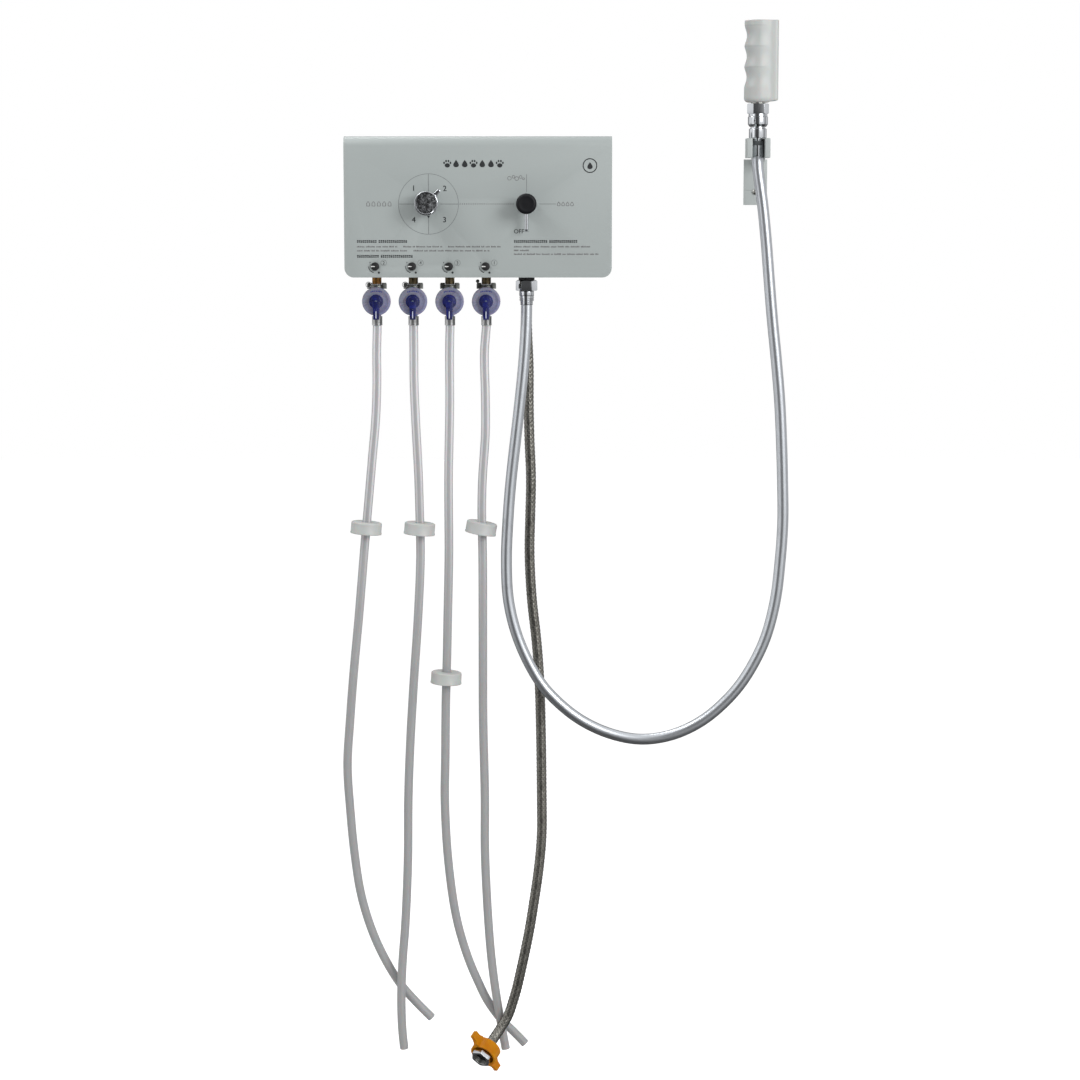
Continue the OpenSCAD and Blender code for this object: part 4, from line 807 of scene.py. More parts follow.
class Pattern(Tree):
    """A geometry node tree with named sizes, run once on a base mesh."""

    def __init__(self, name):
        self.group = bpy.data.node_groups.new(name, "GeometryNodeTree")
        super().__init__(self.group)
        self.sizes = {}
        for socket, way in (("Base", "INPUT"), ("Result", "OUTPUT")):
            self.group.interface.new_socket(name=socket, in_out=way, socket_type="NodeSocketGeometry")
        self.inlet = self.node("NodeGroupInput")
        self.outlet = self.node("NodeGroupOutput")
        self.base = self.inlet.outputs[0]

    def size(self, name, value):
        kind = "NodeSocketInt" if isinstance(value, int) else "NodeSocketFloat"
        socket = self.group.interface.new_socket(name=name, in_out="INPUT", socket_type=kind)
        self.sizes[socket.identifier] = value
        return Value(self, self.inlet.outputs[name])

    def geometry(self, kind, **inputs):
        """What comes out of a new geometry node; the inputs' names have underscores for spaces."""
        named = {key.replace("_", " "): value for key, value in inputs.items()}
        return self.out("GeometryNode" + kind, named)

    def vector(self, operation, first, second):
        return self.out("ShaderNodeVectorMath", {0: first, 1: second}, operation=operation)

    def scaled(self, vector, share):
        return self.out("ShaderNodeVectorMath", {0: vector, "Scale": share}, operation="SCALE")

    def joined(self, x=0.0, y=0.0, z=0.0):
        return self.out("ShaderNodeCombineXYZ", {0: x, 1: y, 2: z})

    def stored(self, geometry, name, value):
        inputs = {"Geometry": geometry, "Name": name, "Value": value}
        return self.out("GeometryNodeStoreNamedAttribute", inputs, data_type="FLOAT", domain="POINT")

    def named(self, name):
        return self.out("GeometryNodeInputNamedAttribute", {"Name": name}, data_type="FLOAT")

    def hoop(self, radius, thickness, sides):
        """A ring of round cord, by its radius and its cord's."""
        ring = self.geometry("CurvePrimitiveCircle", Resolution=sides, Radius=radius)
        cord = self.geometry("CurvePrimitiveCircle", Resolution=8, Radius=thickness)
        return self.geometry("CurveToMesh", Curve=ring, Profile_Curve=cord)

    def run(self, base, geometry, finish):
        """Ends the tree in real, painted geometry, and returns it as a plain mesh."""
        real = self.geometry("RealizeInstances", Geometry=geometry)
        painted = self.geometry("SetMaterial", Geometry=real, Material=finish_of(finish))
        self.group.links.new(painted.socket, self.outlet.inputs[0])
        holder = bpy.data.objects.new(self.group.name, base)
        bpy.context.scene.collection.objects.link(holder)
        pattern = holder.modifiers.new("pattern", "NODES")
        pattern.node_group = self.group
        for identifier, value in self.sizes.items():
            pattern[identifier] = value
        shown = holder.evaluated_get(bpy.context.evaluated_depsgraph_get())
        mesh = bpy.data.meshes.new_from_object(shown)
        bpy.data.objects.remove(holder)
        if not mesh.vertices:
            raise RuntimeError(f"the pattern {self.group.name} made nothing")
        return mesh


def seats_mesh(name, seats, **numbers):
    """A mesh of loose points with a number or more stored at each, for a pattern to place things on."""
    mesh = bpy.data.meshes.new(name)
    mesh.from_pydata([tuple(c * MM for c in p) for p in seats], [], [])
    for key, values in numbers.items():
        mesh.attributes.new(key, "FLOAT", "POINT").data.foreach_set("value", [float(v) for v in values])
    return mesh


def ridges(name, seats, sizes, finish, slot, body="wall_unit", sides=40, place=None):
    """A piece of round ridges, stacked upwards from each seat: their radius, thickness, pitch and count."""
    radius, thickness, pitch, count = sizes
    tree = Pattern(name)
    ridge = tree.hoop(tree.size("Radius", radius * MM), tree.size("Thickness", thickness * MM / 2), sides)
    rise = tree.joined(z=tree.size("Pitch", pitch * MM))
    stack = tree.geometry("MeshLine", Count=tree.size("Count", count), Offset=rise)
    stack = tree.geometry("InstanceOnPoints", Points=stack, Instance=ridge)
    everywhere = tree.geometry("InstanceOnPoints", Points=tree.base, Instance=stack)
    mesh = tree.run(seats_mesh(name + "_seats", seats), everywhere, finish)
    if place:
        mesh.transform(Matrix.Scale(MM, 4) @ place @ Matrix.Scale(1 / MM, 4))
    settle(mesh, name, finish, slot, body)


# ---- smooth runs for tubes and hoses ----


class Run:
    """One smooth line through a route, with a frame that never twists, measured along its length."""

    def __init__(self, route, start, end):
        self.exit = route[0]
        points = [np.array(p, float) for p in route]
        first = points[0] - np.array(start) * np.linalg.norm(points[1] - points[0])
        last = points[-1] + np.array(end) * np.linalg.norm(points[-1] - points[-2])
        guide = [first, *points, last]
        line = []
        for p0, p1, p2, p3 in zip(guide, guide[1:], guide[2:], guide[3:]):
            count = max(2, int(np.linalg.norm(p2 - p1) / RUN_STEP))
            line.append(self.between(p0, p1, p2, p3, count))
        self.points = np.vstack([*line, points[-1][None, :]])
        for _ in range(SMOOTHINGS):
            self.points[2:-2] = (self.points[1:-3] + 2 * self.points[2:-2] + self.points[3:-1]) / 4
        self.along = np.concatenate([[0.0], np.cumsum(np.linalg.norm(np.diff(self.points, axis=0), axis=1))])
        self.length = float(self.along[-1])
        self.tangents = np.gradient(self.points, self.along, axis=0)
        self.tangents[0], self.tangents[-1] = start, end
        self.tangents /= np.linalg.norm(self.tangents, axis=1)[:, None]
        self.sides = np.empty_like(self.points)
        side = np.array([1.0, 0.0, 0.0])
        for i, tangent in enumerate(self.tangents):
            side = side - tangent * side.dot(tangent)
            side /= np.linalg.norm(side)
            self.sides[i] = side

    @staticmethod
    def between(p0, p1, p2, p3, count):
        """Centripetal spline from p1 to p2, without its last point."""
        t0 = 0.0
        t1 = t0 + np.linalg.norm(p1 - p0) ** 0.5
        t2 = t1 + np.linalg.norm(p2 - p1) ** 0.5
        t3 = t2 + np.linalg.norm(p3 - p2) ** 0.5
        t = np.linspace(t1, t2, count, endpoint=False)[:, None]
        a1 = (t1 - t) / (t1 - t0) * p0 + (t - t0) / (t1 - t0) * p1
        a2 = (t2 - t) / (t2 - t1) * p1 + (t - t1) / (t2 - t1) * p2
        a3 = (t3 - t) / (t3 - t2) * p2 + (t - t2) / (t3 - t2) * p3
        b1 = (t2 - t) / (t2 - t0) * a1 + (t - t0) / (t2 - t0) * a2
        b2 = (t3 - t) / (t3 - t1) * a2 + (t - t1) / (t3 - t1) * a3
        return (t2 - t) / (t2 - t1) * b1 + (t - t1) / (t2 - t1) * b2

    def at(self, along):
        """Place, side and rise of the run at a length along it."""
        place, tangent, side = (
            np.array([np.interp(along, self.along, values[:, k]) for k in range(3)])
            for values in (self.points, self.tangents, self.sides)
        )
        tangent /= np.linalg.norm(tangent)
        side -= tangent * side.dot(tangent)
        side /= np.linalg.norm(side)
        return place, side, np.cross(tangent, side)

    def tube(self, stations, sides=28):
        """A mesh of rings at stations of (length along, radius), with its straightened coordinates stored."""
        rings, straight = [], []
        for along, radius in stations:
            place, side, rise = self.at(along)
            if not radius:
                rings.append([tuple(place)])
                straight.append((0.0, 0.0, along * MM))
                continue
            ring = []
            for i in range(sides):
                c, s = math.cos(TURN * i / sides), math.sin(TURN * i / sides)
                ring.append(tuple(place + radius * (c * side + s * rise)))
                straight.append((radius * c * MM, radius * s * MM, along * MM))
            rings.append(ring)
        mesh = mesh_of("run", skin(rings))
        layer = mesh.attributes.new("straightened", "FLOAT_VECTOR", "POINT")
        layer.data.foreach_set("vector", np.array(straight).ravel())
        return mesh

    def metres(self, every=8.0):
        """Points of the run in metres, close enough together to keep its length."""
        count = int(self.length / every) + 1
        return [tuple(self.at(s)[0] * MM) for s in np.linspace(0.0, self.length, count)]


def even_stations(start, end, radius, every=5.0):
    """Stations of one radius between two lengths along a run."""
    count = max(2, int((end - start) / every) + 1)
    return [(s, radius) for s in np.linspace(start, end, count)]


# ---- product tubes and bottle caps ----


def hung(piece, run, radius, far_end, **more):
    """Works out the run's exit in metres and points along the run, and keeps neither."""
    [c * MM for c in run.exit]
    run.metres()


def product_tubes():
    """Four open-ended clear tubes that hang from their valves."""
    radius = 5.7
    inner = radius - looks("hoses").wall / MM
    for number, route in TUBE_ROUTES.items():
        heading = np.array(route[-1], float) - np.array(route[-2], float)
        run = Run(route, DOWN, heading / np.linalg.norm(heading))
        end = run.length
        stations = [(0.0, 0.0), (0.0, radius - 0.4), (0.4, radius), *even_stations(2.0, end - 1.2, radius)]
        stations += [(end - 0.35, radius - 0.1), (end, radius - 0.5), (end, inner + 0.3), (end - 0.4, inner)]
        stations += [(end - 8.0, inner), (end - 16.0, inner), (end - 16.0, 0.0)]
        piece = settle(
            run.tube(stations), f"clear_tube_{number}", "tube_plastic", "clear_tube",
            nodes=(f"product_tube_{number}",), sharp=40.0,
        )
        hung(piece, run, radius, "bare")


def bottle_caps():
    """Screw caps with rounded rims, hollow below, each on its own tube."""
    r, h, bore = 20.5, 15.5, 6.7
    profile = [(bore, h), (r - 2.6, h), *arc(r - 2.6, h - 2.1, 2.1, 90, 0, 8), (r - 0.5, 2.9), (r - 0.1, 2.3)]
    profile += [*arc(r - 0.8, 0.8, 0.8, 0, -90, 5), (r - 1.9, 0.0), (r - 2.1, 0.4), (r - 2.1, h - 3.2)]
    profile += [(r - 3.4, h - 1.6), (bore, h - 1.6)]
    for number, (x, z, lean) in CAP_SEATS.items():
        place = upright(x, LINE_Y, z) @ Matrix.Rotation(math.radians(lean), 4, "Y") @ upright(0, 0, -h / 2)
        look = ("cap_plastic", "cap_white", f"cap_{number}")
        cap = moved(turned(profile, 96, wrap=True), place)
        made_piece(f"screw_cap_{number}", cap, *look, (f"bottle_cap_{number}",), 38.0)
        ridges(f"cap_inner_thread_{number}", [(0, 0, 2.8)], (r - 2.2, 0.9, 2.6, 3), *look, 64, place)


# ---- hoses ----


def braided_hose():
    """Dark core with a plain-woven steel braid over it, from its crimped top to the winged nut."""
    outer, core_radius = 6.8, 5.75
    middle = (outer - 0.55) * MM
    strands, width = looks("hoses").strands, looks("hoses").strand_width
    run = Run([*SUPPLY_ROUTE, tuple(WING_CENTRE + WING_AXIS * TAIL_REACH)], DOWN, tuple(-WING_AXIS))
    mesh = run.tube([(0.0, 0.0), *even_stations(0.0, run.length, core_radius), (run.length, 0.0)])
    core = settle(mesh, "supply_core", "hose_core", "steel_braid", nodes=("supply_hose",), sharp=40.0)
    length = run.length * MM
    turns = length / looks("hoses").pitch
    round_way, slant = TURN * middle * turns, math.hypot(TURN * middle * turns, length)

    tree = Pattern("woven_braid")
    count, wind = tree.size("Strands each way", int(strands)), tree.size("Turns", float(turns))
    radius, lift = tree.size("Radius", middle), tree.size("Lift", 0.2 * MM)
    crown = tree.size("Crown", 0.3 * MM)
    turn_across = tree.size("Turn across a strand", -width * length / slant / middle)
    run_across = tree.size("Run across a strand", width * round_way / slant / length)

    # One flat ribbon for each strand, four points wide, with its number and its place across stored on it
    ribbon = tree.geometry(
        "MeshGrid", Size_X=1.0, Size_Y=1.0, Vertices_X=int(4 * turns * strands) + 1, Vertices_Y=4
    )
    seats = tree.geometry("MeshLine", Count=count * 2.0, Offset=(0.0, 0.0, 0.0))
    numbered = tree.stored(seats, "strand", tree.geometry("InputIndex"))
    ribbons = tree.geometry("InstanceOnPoints", Points=numbered, Instance=ribbon)
    x, y, _ = tree.apart(tree.geometry("InputPosition"))
    share = x + 0.5
    column = (y + 0.5) * 3.0
    across = column * 0.5 - 0.5 + (column > 2.5) * -1.5
    marked = tree.stored(tree.geometry("RealizeInstances", Geometry=ribbons), "across", across)

    # Half of the strands wind the other way; each passes over and under those it meets
    strand, across = tree.named("strand"), tree.named("across")
    way = 1.0 - (strand > count - 0.5) * 2.0
    angle = (way * share * wind + strand / count) * TURN + across * turn_across
    beat = (share * wind * count * TURN).cosine()
    ridge = tree.math("COMPARE", column, 1.0, 0.2)
    reach = radius + way * beat * lift + ridge * crown

    path = tree.geometry("MeshToCurve", Mesh=tree.base)
    factor = share + across * run_across * way
    on_path = tree.node("GeometryNodeSampleCurve", {"Curves": path, "Factor": factor}, mode="FACTOR")
    place, tangent, normal = (on_path.outputs[k] for k in ("Position", "Tangent", "Normal"))
    rise = tree.vector("CROSS_PRODUCT", tangent, normal)
    out = tree.vector("ADD", tree.scaled(normal, angle.cosine()), tree.scaled(rise, angle.sine()))
    position = tree.vector("ADD", place, tree.scaled(out, reach))
    wound = tree.geometry("SetPosition", Geometry=marked, Position=position)

    points = run.metres(3.0)
    base = bpy.data.meshes.new("supply_path")
    base.from_pydata(points, [(i, i + 1) for i in range(len(points) - 1)], [])
    braid = settle(tree.run(base, wound, "braid_wire"), "steel_braid", "braid_wire", "steel_braid")
    hung(core, run, outer, "fitting", with_pieces=[braid])


def spray_hose():
    """Smooth silver hose that hangs in one long loop from the outlet to the sprayer."""
    run, radius = Run(SPRAY_ROUTE, DOWN, UP), 7.2
    mesh = run.tube([(0.0, 0.0), *even_stations(0.0, run.length, radius, 4.0), (run.length, 0.0)], 36)
    bend = ("wall_unit", "hose_coupling", (0.10, -0.05, -0.6), (0.36, -0.05, -0.6))
    look = ("silver_hose", "hose_silver")
    piece = settle(mesh, "silver_hose", *look, nodes=("spray_hose",), sharp=50.0, blend=bend)
    hung(piece, run, radius, "object")


def hose_fittings():
    """Nuts, collars and crimped ferrules where the two hoses leave the panel."""
    edge = looks("controls").edge / MM
    softened("outlet_collar", "outlet_collar_ring", 0.6, "black_matte", "rubber_black")
    softened("hose_nut", "hose_nut_hexagon", edge, "chrome", "chrome", steps=3)
    profile = [(0.0, -124.7), (7.3, -124.7), (7.5, -124.3), *arc(7.55, -123.9, 0.6, -90, 0, 4)]
    for crimp in (-122.4, -119.6, -116.8):
        profile += [(8.15, crimp - 0.9), (7.75, crimp - 0.45), (7.75, crimp + 0.45), (8.15, crimp + 0.9)]
    profile += [(8.15, -113.2), (8.9, -112.9), *arc(8.8, -112.2, 0.7, -90, 0, 4), (9.5, -108.4)]
    profile += [*arc(8.8, -107.6, 0.7, 0, 90, 4), (7.5, -106.7), (7.5, -102.5), (8.7, -102.5), (8.7, -101.2)]
    ferrule = moved(turned([*profile, (0.0, -101.2)], 80), upright(*OUTLET))
    made_piece("crimped_ferrule", ferrule, "chrome", "chrome", nodes=("hose_ferrule",))
    softened("supply_coupling", "supply_union", edge, "chrome", "chrome", steps=3)
    ridges("supply_union_crimps", [(*SUPPLY, -119.0)], (9.0, 0.9, 2.6, 4), "chrome", "chrome")


def winged_nut():
    """Hexagon nut in its amber winged collar, with the hose's crimped tail and the washer inside it."""
    place = Matrix.Translation(WING_CENTRE) @ WING_LEAN.to_matrix().to_4x4()
    softened(
        "wing_collar", "winged_collar", 0.8, "amber_plastic", "amber", "winged_nut", steps=3, sharpest=30.0
    )
    softened("supply_nut", "swivel_nut", 0.5, "chrome", "chrome", "winged_nut", steps=3)
    thread = (9.32, 0.9, 1.4, 5)
    ridges("nut_inner_thread", [(0, 0, -14.7)], thread, "fixing_steel", "chrome", "winged_nut", 48, place)
    softened("supply_tail", "tail_ferrule", 0.4, "chrome", "chrome")
    ridges("tail_ferrule_crimps", [(0, 0, 10.2)], (7.95, 0.7, 1.8, 2), "chrome", "chrome", place=place)
    refinish("black_rubber", "supply_washer")


# ---- control panel ----


def cover():
    """Cover, chassis and the fixings that hold them together."""
    edge = looks("panel").edge / MM
    softened("front_cover", "coated_cover", edge, "powder_coat", "cover", steps=3, sharpest=40.0)
    refinish("zinc_sheet", "wall_chassis", "valve_rail")
    softened("cover_fixings", "top_screws_and_nuts", 0.35, "fixing_steel", "fixings")


def inner_works():
    """Finishes of the valves and pipes behind the cover."""
    refinish("brass", "selector_body", "tap_body", "injector", "rail_nuts")
    refinish("clear_tube", "suction_line", "inner_product_lines")
    refinish("copper", "feed_pipe", "outlet_pipe")


def on_panel(shape):
    """Lays a flat shape made in x and y on the cover's face, with its print height."""
    points, faces = shape
    return [(x, PANEL_Y - z, y) for x, y, z in points], faces


def flat(outline):
    """A printed patch from its closed outline on the panel."""
    return on_panel(extruded(outline, SUNK, looks("panel").print_height / MM))


def band(outer, inner):
    """A printed patch between two outlines with the same number of points."""
    proud = looks("panel").print_height / MM
    sides = ((outer, SUNK), (outer, proud), (inner, proud), (inner, SUNK))
    return on_panel(skin([[(x, y, z) for x, y in outline] for outline, z in sides], wrap=True))


def ring_mark(x, z, radius, width, sides):
    return band(circle(x, z, radius + width / 2, sides), circle(x, z, radius - width / 2, sides))


def drop_points(x, z, size):
    """Outline of a water drop, by its middle and its height."""
    points = []
    for turn in (TURN * i / 40 for i in range(40)):
        wide = 0.52 * size * math.sin(turn) * math.sin(turn / 2) ** 1.4
        points.append((x + wide, z + 0.5 * size * math.cos(turn)))
    return points


def swelling_arc(x, z):
    """The printed arc beside a dilution screw, which swells from its upper end to its lower one."""
    radius, start, end, thin, thick, steps = 7.6, 178, 262, 0.55, 1.1, 24
    outer, inner = [], []
    for k in range(steps + 1):
        angle = math.radians(start + (end - start) * k / steps)
        half = (thin + (thick - thin) * k / steps) / 2
        for side, reach in ((outer, radius + half), (inner, radius - half)):
            side.append((x + reach * math.cos(angle), z + reach * math.sin(angle)))
    return flat(outer + inner[::-1])


def bars(name, marks, finish, slot="cover", face_y=PANEL_Y):
    """A piece of straight printed marks: each is its middle on a face, its width and its height."""
    height = looks("panel").print_height
    tree = Pattern(name)
    proud = tree.size("Print height", height - SUNK * MM)
    size = tree.joined(tree.named("wide"), proud, tree.named("tall"))
    slab = tree.geometry("MeshCube", Size=(1.0, 1.0, 1.0))
    placed = tree.geometry("InstanceOnPoints", Points=tree.base, Instance=slab, Scale=size)
    middle = face_y - SUNK / 2 - height / MM / 2
    base = seats_mesh(
        name + "_seats",
        [(x, middle, z) for x, z, _, _ in marks],
        wide=[w * MM for _, _, w, _ in marks],
        tall=[t * MM for _, _, _, t in marks],
    )
    settle(tree.run(base, placed, finish), name, finish, slot)


def print_line(x, z, width, seed):
    """A line of small plain blocks, as many and as large as the letters of a line of directions."""
    gap, space, tall = 0.5, 1.5, 1.5
    chance = np.random.default_rng(seed)
    marks, place = [], x
    while place < x + width:
        for _ in range(int(chance.integers(2, 9))):
            wide = float(chance.uniform(0.7, 1.2))
            if place + wide > x + width:
                return marks
            rise = float(chance.choice((0.0, 0.0, 0.3))) * tall
            marks.append((place + wide / 2, z + rise / 2, wide, tall + rise))
            place += wide + gap
        place += space
    return marks


def heading_line(x, z, *words):
    """A bold heading: each word is a row of plain blocks with a slit across them, by its width."""
    gap, space, letter = 0.55, 2.6, 2.5
    marks = []
    for width in words:
        count = round(width / letter)
        pitch = (width + gap) / count
        wide = pitch - gap
        for k in range(count):
            slit = (0.5, 0.0, -0.5, 0.2, -0.3)[(3 * k + int(width)) % 5]
            for way in (1, -1):
                marks.append((x + pitch * k + wide / 2, z + 0.95 * way + slit / 2, wide, 1.4 - slit * way))
        x += width + space
    return marks


def bolder(work, by):
    """Moves the free edges of a flat figure outward, which makes its strokes bolder."""
    ways = {}
    for e in work.edges:
        if len(e.link_faces) == 1:
            along = e.verts[1].co - e.verts[0].co
            out = Vector((along.y, -along.x, 0.0)).normalized()
            if out.dot(e.link_faces[0].calc_center_median() - e.verts[0].co) > 0:
                out.negate()
            for v in e.verts:
                ways.setdefault(v, []).append(out)
    for v, outs in ways.items():
        middle = sum(outs, Vector((0.0, 0.0, 0.0))) / len(outs)
        v.co += by * middle / max(middle.length_squared, 0.4)


def lettering(text, x, z, height, bold):
    """A number or plain word in sans-serif print, by its middle and the height of its figures."""
    curve = bpy.data.curves.new("figure", "FONT")
    curve.body = text
    curve.size = height / 0.69
    curve.align_x, curve.align_y = "CENTER", "CENTER"
    curve.extrude = 0.0
    curve.resolution_u = 6
    writer = bpy.data.objects.new("figure", curve)
    bpy.context.scene.collection.objects.link(writer)
    mesh = bpy.data.meshes.new_from_object(writer.evaluated_get(bpy.context.evaluated_depsgraph_get()))
    bpy.data.objects.remove(writer)
    work = bmesh.new()
    work.from_mesh(mesh)
    bpy.data.meshes.remove(mesh)
    bmesh.ops.remove_doubles(work, verts=work.verts, dist=1e-4)
    bmesh.ops.recalc_face_normals(work, faces=work.faces)
    bolder(work, bold)
    low = [v.co.copy() for v in work.verts]
    middle = (min(c.y for c in low) + max(c.y for c in low)) / 2
    work.verts.index_update()
    points = [(c.x + x, c.y - middle + z, looks("panel").print_height / MM) for c in low]
    points += [(px, py, SUNK) for px, py, _ in points]
    count = len(low)
    faces = [tuple(v.index for v in f.verts) for f in work.faces]
    faces += [tuple(count + i for i in reversed(f)) for f in faces]
    for e in work.edges:
        if len(e.link_faces) == 1:
            a, b = (v.index for v in e.verts)
            faces.append((a, b, count + b, count + a))
    work.free()
    return on_panel((points, faces))


def panel_print():
    """Dial circle, cross lines, dots, numbers and rows of small plain blocks on the cover."""
    x, z = -62.7, 3.7
    fine = [ring_mark(x, z, 38.0, 0.65, 144)]
    dark = [
        lettering(text, fx, fz, height, bold)
        for text, fx, fz, height, bold in (
            ("1", -81.4, 23.7, 6.6, 0.15), ("2", -41.9, 23.4, 6.6, 0.15), ("3", -42.3, -15.9, 6.6, 0.15),
            ("4", -81.4, -15.9, 6.6, 0.15), ("OFF", 52.0, -30.6, 5.2, 0.06),
        )
    ]
    dark.append(flat([(x - 1.9, z - 14.6), (x, z - 18.4), (x + 1.9, z - 14.6)]))
    marks = []
    for number, place in LINES.items():
        figure = (place + 10.9, SCREW_Z + 4.6)
        fine.append(ring_mark(*figure, 3.6, 0.6, 48))
        dark.append(lettering(str(number), *figure, 4.2, 0.03))
        dark.append(swelling_arc(place - 0.8, SCREW_Z))
        dark.append(flat(circle(place + 4.7, SCREW_Z - 7.8, 1.4, 28)))
        tip = [(place - 7.4, SCREW_Z + 4.0), (place - 5.7, SCREW_Z + 4.4), (place - 6.3, SCREW_Z + 6.2)]
        dark.append(flat(tip))
        for k, wide in enumerate((1.5, 2.0, 1.2, 1.9, 1.4, 2.1, 1.3)):
            marks.append((place - 6.6 + 2.25 * k, VALVE_Z + 13.1 - 0.11 * (k - 3) ** 2, wide, 1.5))
    made_piece("dial_lines", together(*fine), "fine_ink", "cover")
    lines = [
        (x - 26.3, z, 22.5, 0.85), (x + 26.3, z, 22.5, 0.85), (x, z + 26.3, 0.85, 22.5), (x, z - 28.1, 0.85, 18.9),
        (61.7, 30.0, 0.7, 22.5), (88.2, 3.8, 21.5, 0.7), (62.0, -31.0, 5.0, 0.7),
    ]
    bars("cross_lines", lines, "fine_ink")
    bars("dotted_line", [(-22.6 + 2.8 * k, 3.8, 1.15, 1.15) for k in range(25)], "text_ink")
    words = []
    for left, low, width, seed in (
        (-153.8, -50.2, 52.0, 3), (-95.0, -50.2, 50.0, 4), (-38.0, -50.2, 67.0, 5), (-153.8, -55.3, 64.0, 6),
        (-82.0, -55.3, 97.0, 7), (45.7, -50.2, 97.0, 8), (45.7, -54.9, 19.0, 9), (45.7, -59.6, 108.0, 10),
    ):
        words += print_line(left, low, width, seed)
    bars("direction_blocks", words, "text_ink")
    heads = heading_line(-153.8, -43.4, 24.9, 36.1) + heading_line(-153.8, -62.2, 27.6, 40.4)
    bars("heading_blocks", heads + heading_line(45.7, -43.4, 42.2, 35.5), "dark_ink")
    made_piece("dial_figures", together(*dark), "dark_ink", "cover")
    bars("valve_mark_blocks", marks, "valve_mark", "clear_valve", VALVE_FACE_Y)


def paw_print(x, z, size):
    """Pad and four toes of a paw, by the middle of the print and its height."""
    patches = []
    for dx, dz, wide, tall in (
        (0, -0.2, 0.33, 0.27), (-0.4, 0.12, 0.11, 0.15), (-0.15, 0.34, 0.11, 0.15), (0.15, 0.34, 0.11, 0.15),
        (0.4, 0.12, 0.11, 0.15),
    ):
        points = [(x + size * (dx + wide * c), z + size * (dz + tall * s)) for c, s in circle(0, 0, 1, 28)]
        patches.append(flat(points))
    return patches


def panel_signs():
    """Plain signs where functions are named: paws and drops, bubbles, small drops, bottles, a ringed drop."""
    pitch = 33.2
    dark = [ring_mark(142.0, 52.0, 8.6, 1.3, 72), flat(drop_points(142.0, 52.0, 9.0))]
    for k in range(3):
        dark += paw_print(-38.6 + pitch * k, 54.2, 10.0)
    for k in range(2):
        dark += [flat(drop_points(left + pitch * k, 54.6, 9.4)) for left in (-27.5, -16.5)]
    made_piece("panel_signs", together(*dark), "dark_ink", "cover")
    thin = []
    for dx, dz, size in ((-8.6, -0.6, 2.3), (-3.4, 1.2, 1.7), (0.6, -1.0, 2.4), (5.6, 1.0, 1.8), (9.2, -1.2, 1.2)):
        thin.append(ring_mark(48.6 + dx, 36.7 + dz, size, 0.55, 32))
    for k in range(4):
        left = 102.5 + 5.6 * k
        thin.append(band(drop_points(left, 4.0, 5.8), drop_points(left, 3.8, 4.2)))
    half = [(2.2, -2.9), (2.2, 1.0), (1.0, 2.1), (1.0, 3.0)]
    bottle = [(-2.2, -2.9), *half, (-1.0, 3.0), (-1.0, 2.1), (-2.2, 1.0)]
    for k in range(5):
        left = -139.2 + 6.8 * k
        outer, inner = (
            [(left + bx * wide, 3.8 + bz * tall) for bx, bz in bottle] for wide, tall in ((1.0, 1.0), (0.7, 0.8))
        )
        thin.append(band(outer, inner))
    made_piece("thin_signs", together(*thin), "text_ink", "cover")


# ---- controls ----


def selector_knob():
    """Chromed knob with a waist, a bead round its dished face, and a pointer."""
    profile = [(0.0, 13.0), (3.05, 13.0), (3.05, 0.0), (12.6, 0.0)]
    profile += [*arc(13.3, 0.7, 0.7, -90, 0, 4), (14.0, 3.4)]
    profile += [(13.2, 4.2), (12.0, 5.2), (11.75, 6.6), (12.0, 8.0), (12.9, 9.3), (14.2, 10.4), (14.8, 11.2)]
    profile += [(15.0, 12.2), (15.0, 21.2), *arc(14.1, 21.5, 0.95, 0, 90), (13.4, 22.42), (13.15, 22.25)]
    profile += [(12.95, 21.6), (12.7, 21.3), (12.2, 21.1), (0.0, 20.0)]
    dish = [(0.0, 20.6), (12.6, 21.15), (12.75, 21.35), (10.0, 21.6), (6.5, 21.95), (3.0, 22.1), (0.0, 22.15)]
    arm = [(2.0, -4.4), (21.5, -2.45), *arc(21.5, 0.0, 2.45, -75, 75, 10), (21.5, 2.45), (2.0, 4.4)]
    place = facing_out(*SELECTOR, KNOB_BACK_Y)
    nodes = ("selector_knob",)
    dial = moved(turned(profile, 96), place)
    made_piece("selector_dial", dial, "chrome", "chrome", "selector", nodes, 30.0)
    made_piece("selector_face", moved(turned(dish), place), "dial_metal", "chrome", "selector", sharp=30.0)
    pointer = moved(extruded(arm, 4.2, 9.8), place @ Matrix.Rotation(math.radians(45), 4, "Z"))
    mesh = mesh_of("selector_pointer", pointer)
    work = bmesh.new()
    work.from_mesh(mesh)
    bevelled(work, 0.8, 60.0, 3)
    work.to_mesh(mesh)
    work.free()
    settle(mesh, "selector_pointer", "chrome", "chrome", "selector")
    refinish("fixing_steel", "selector_spindle")


def tap():
    """Black knob, chromed hub and rod of the bathe and rinse tap, and both panel nuts."""
    edge = looks("controls").edge / MM
    profile = [(0.0, 12.0), (11.8, 12.0), *arc(12.2, 12.8, 0.8, -90, 0, 4), (13.0, 23.2)]
    profile += [*arc(9.2, 23.2, 3.8, 0, 84, 10), (8.6, 26.9), (8.0, 26.75), (4.0, 26.85), (0.0, 26.9)]
    knob = moved(turned(profile, 88), facing_out(*TAP, KNOB_BACK_Y))
    made_piece("tap_handle", knob, "black_gloss", "black_gloss", "tap", ("tap_knob",))
    softened("tap_spindle", "tap_hub", edge, "chrome", "chrome", "tap", steps=3)
    refinish("chrome", "tap_rod")
    softened("panel_nuts", "panel_nut_pair", edge, "chrome", "fixings", steps=3)


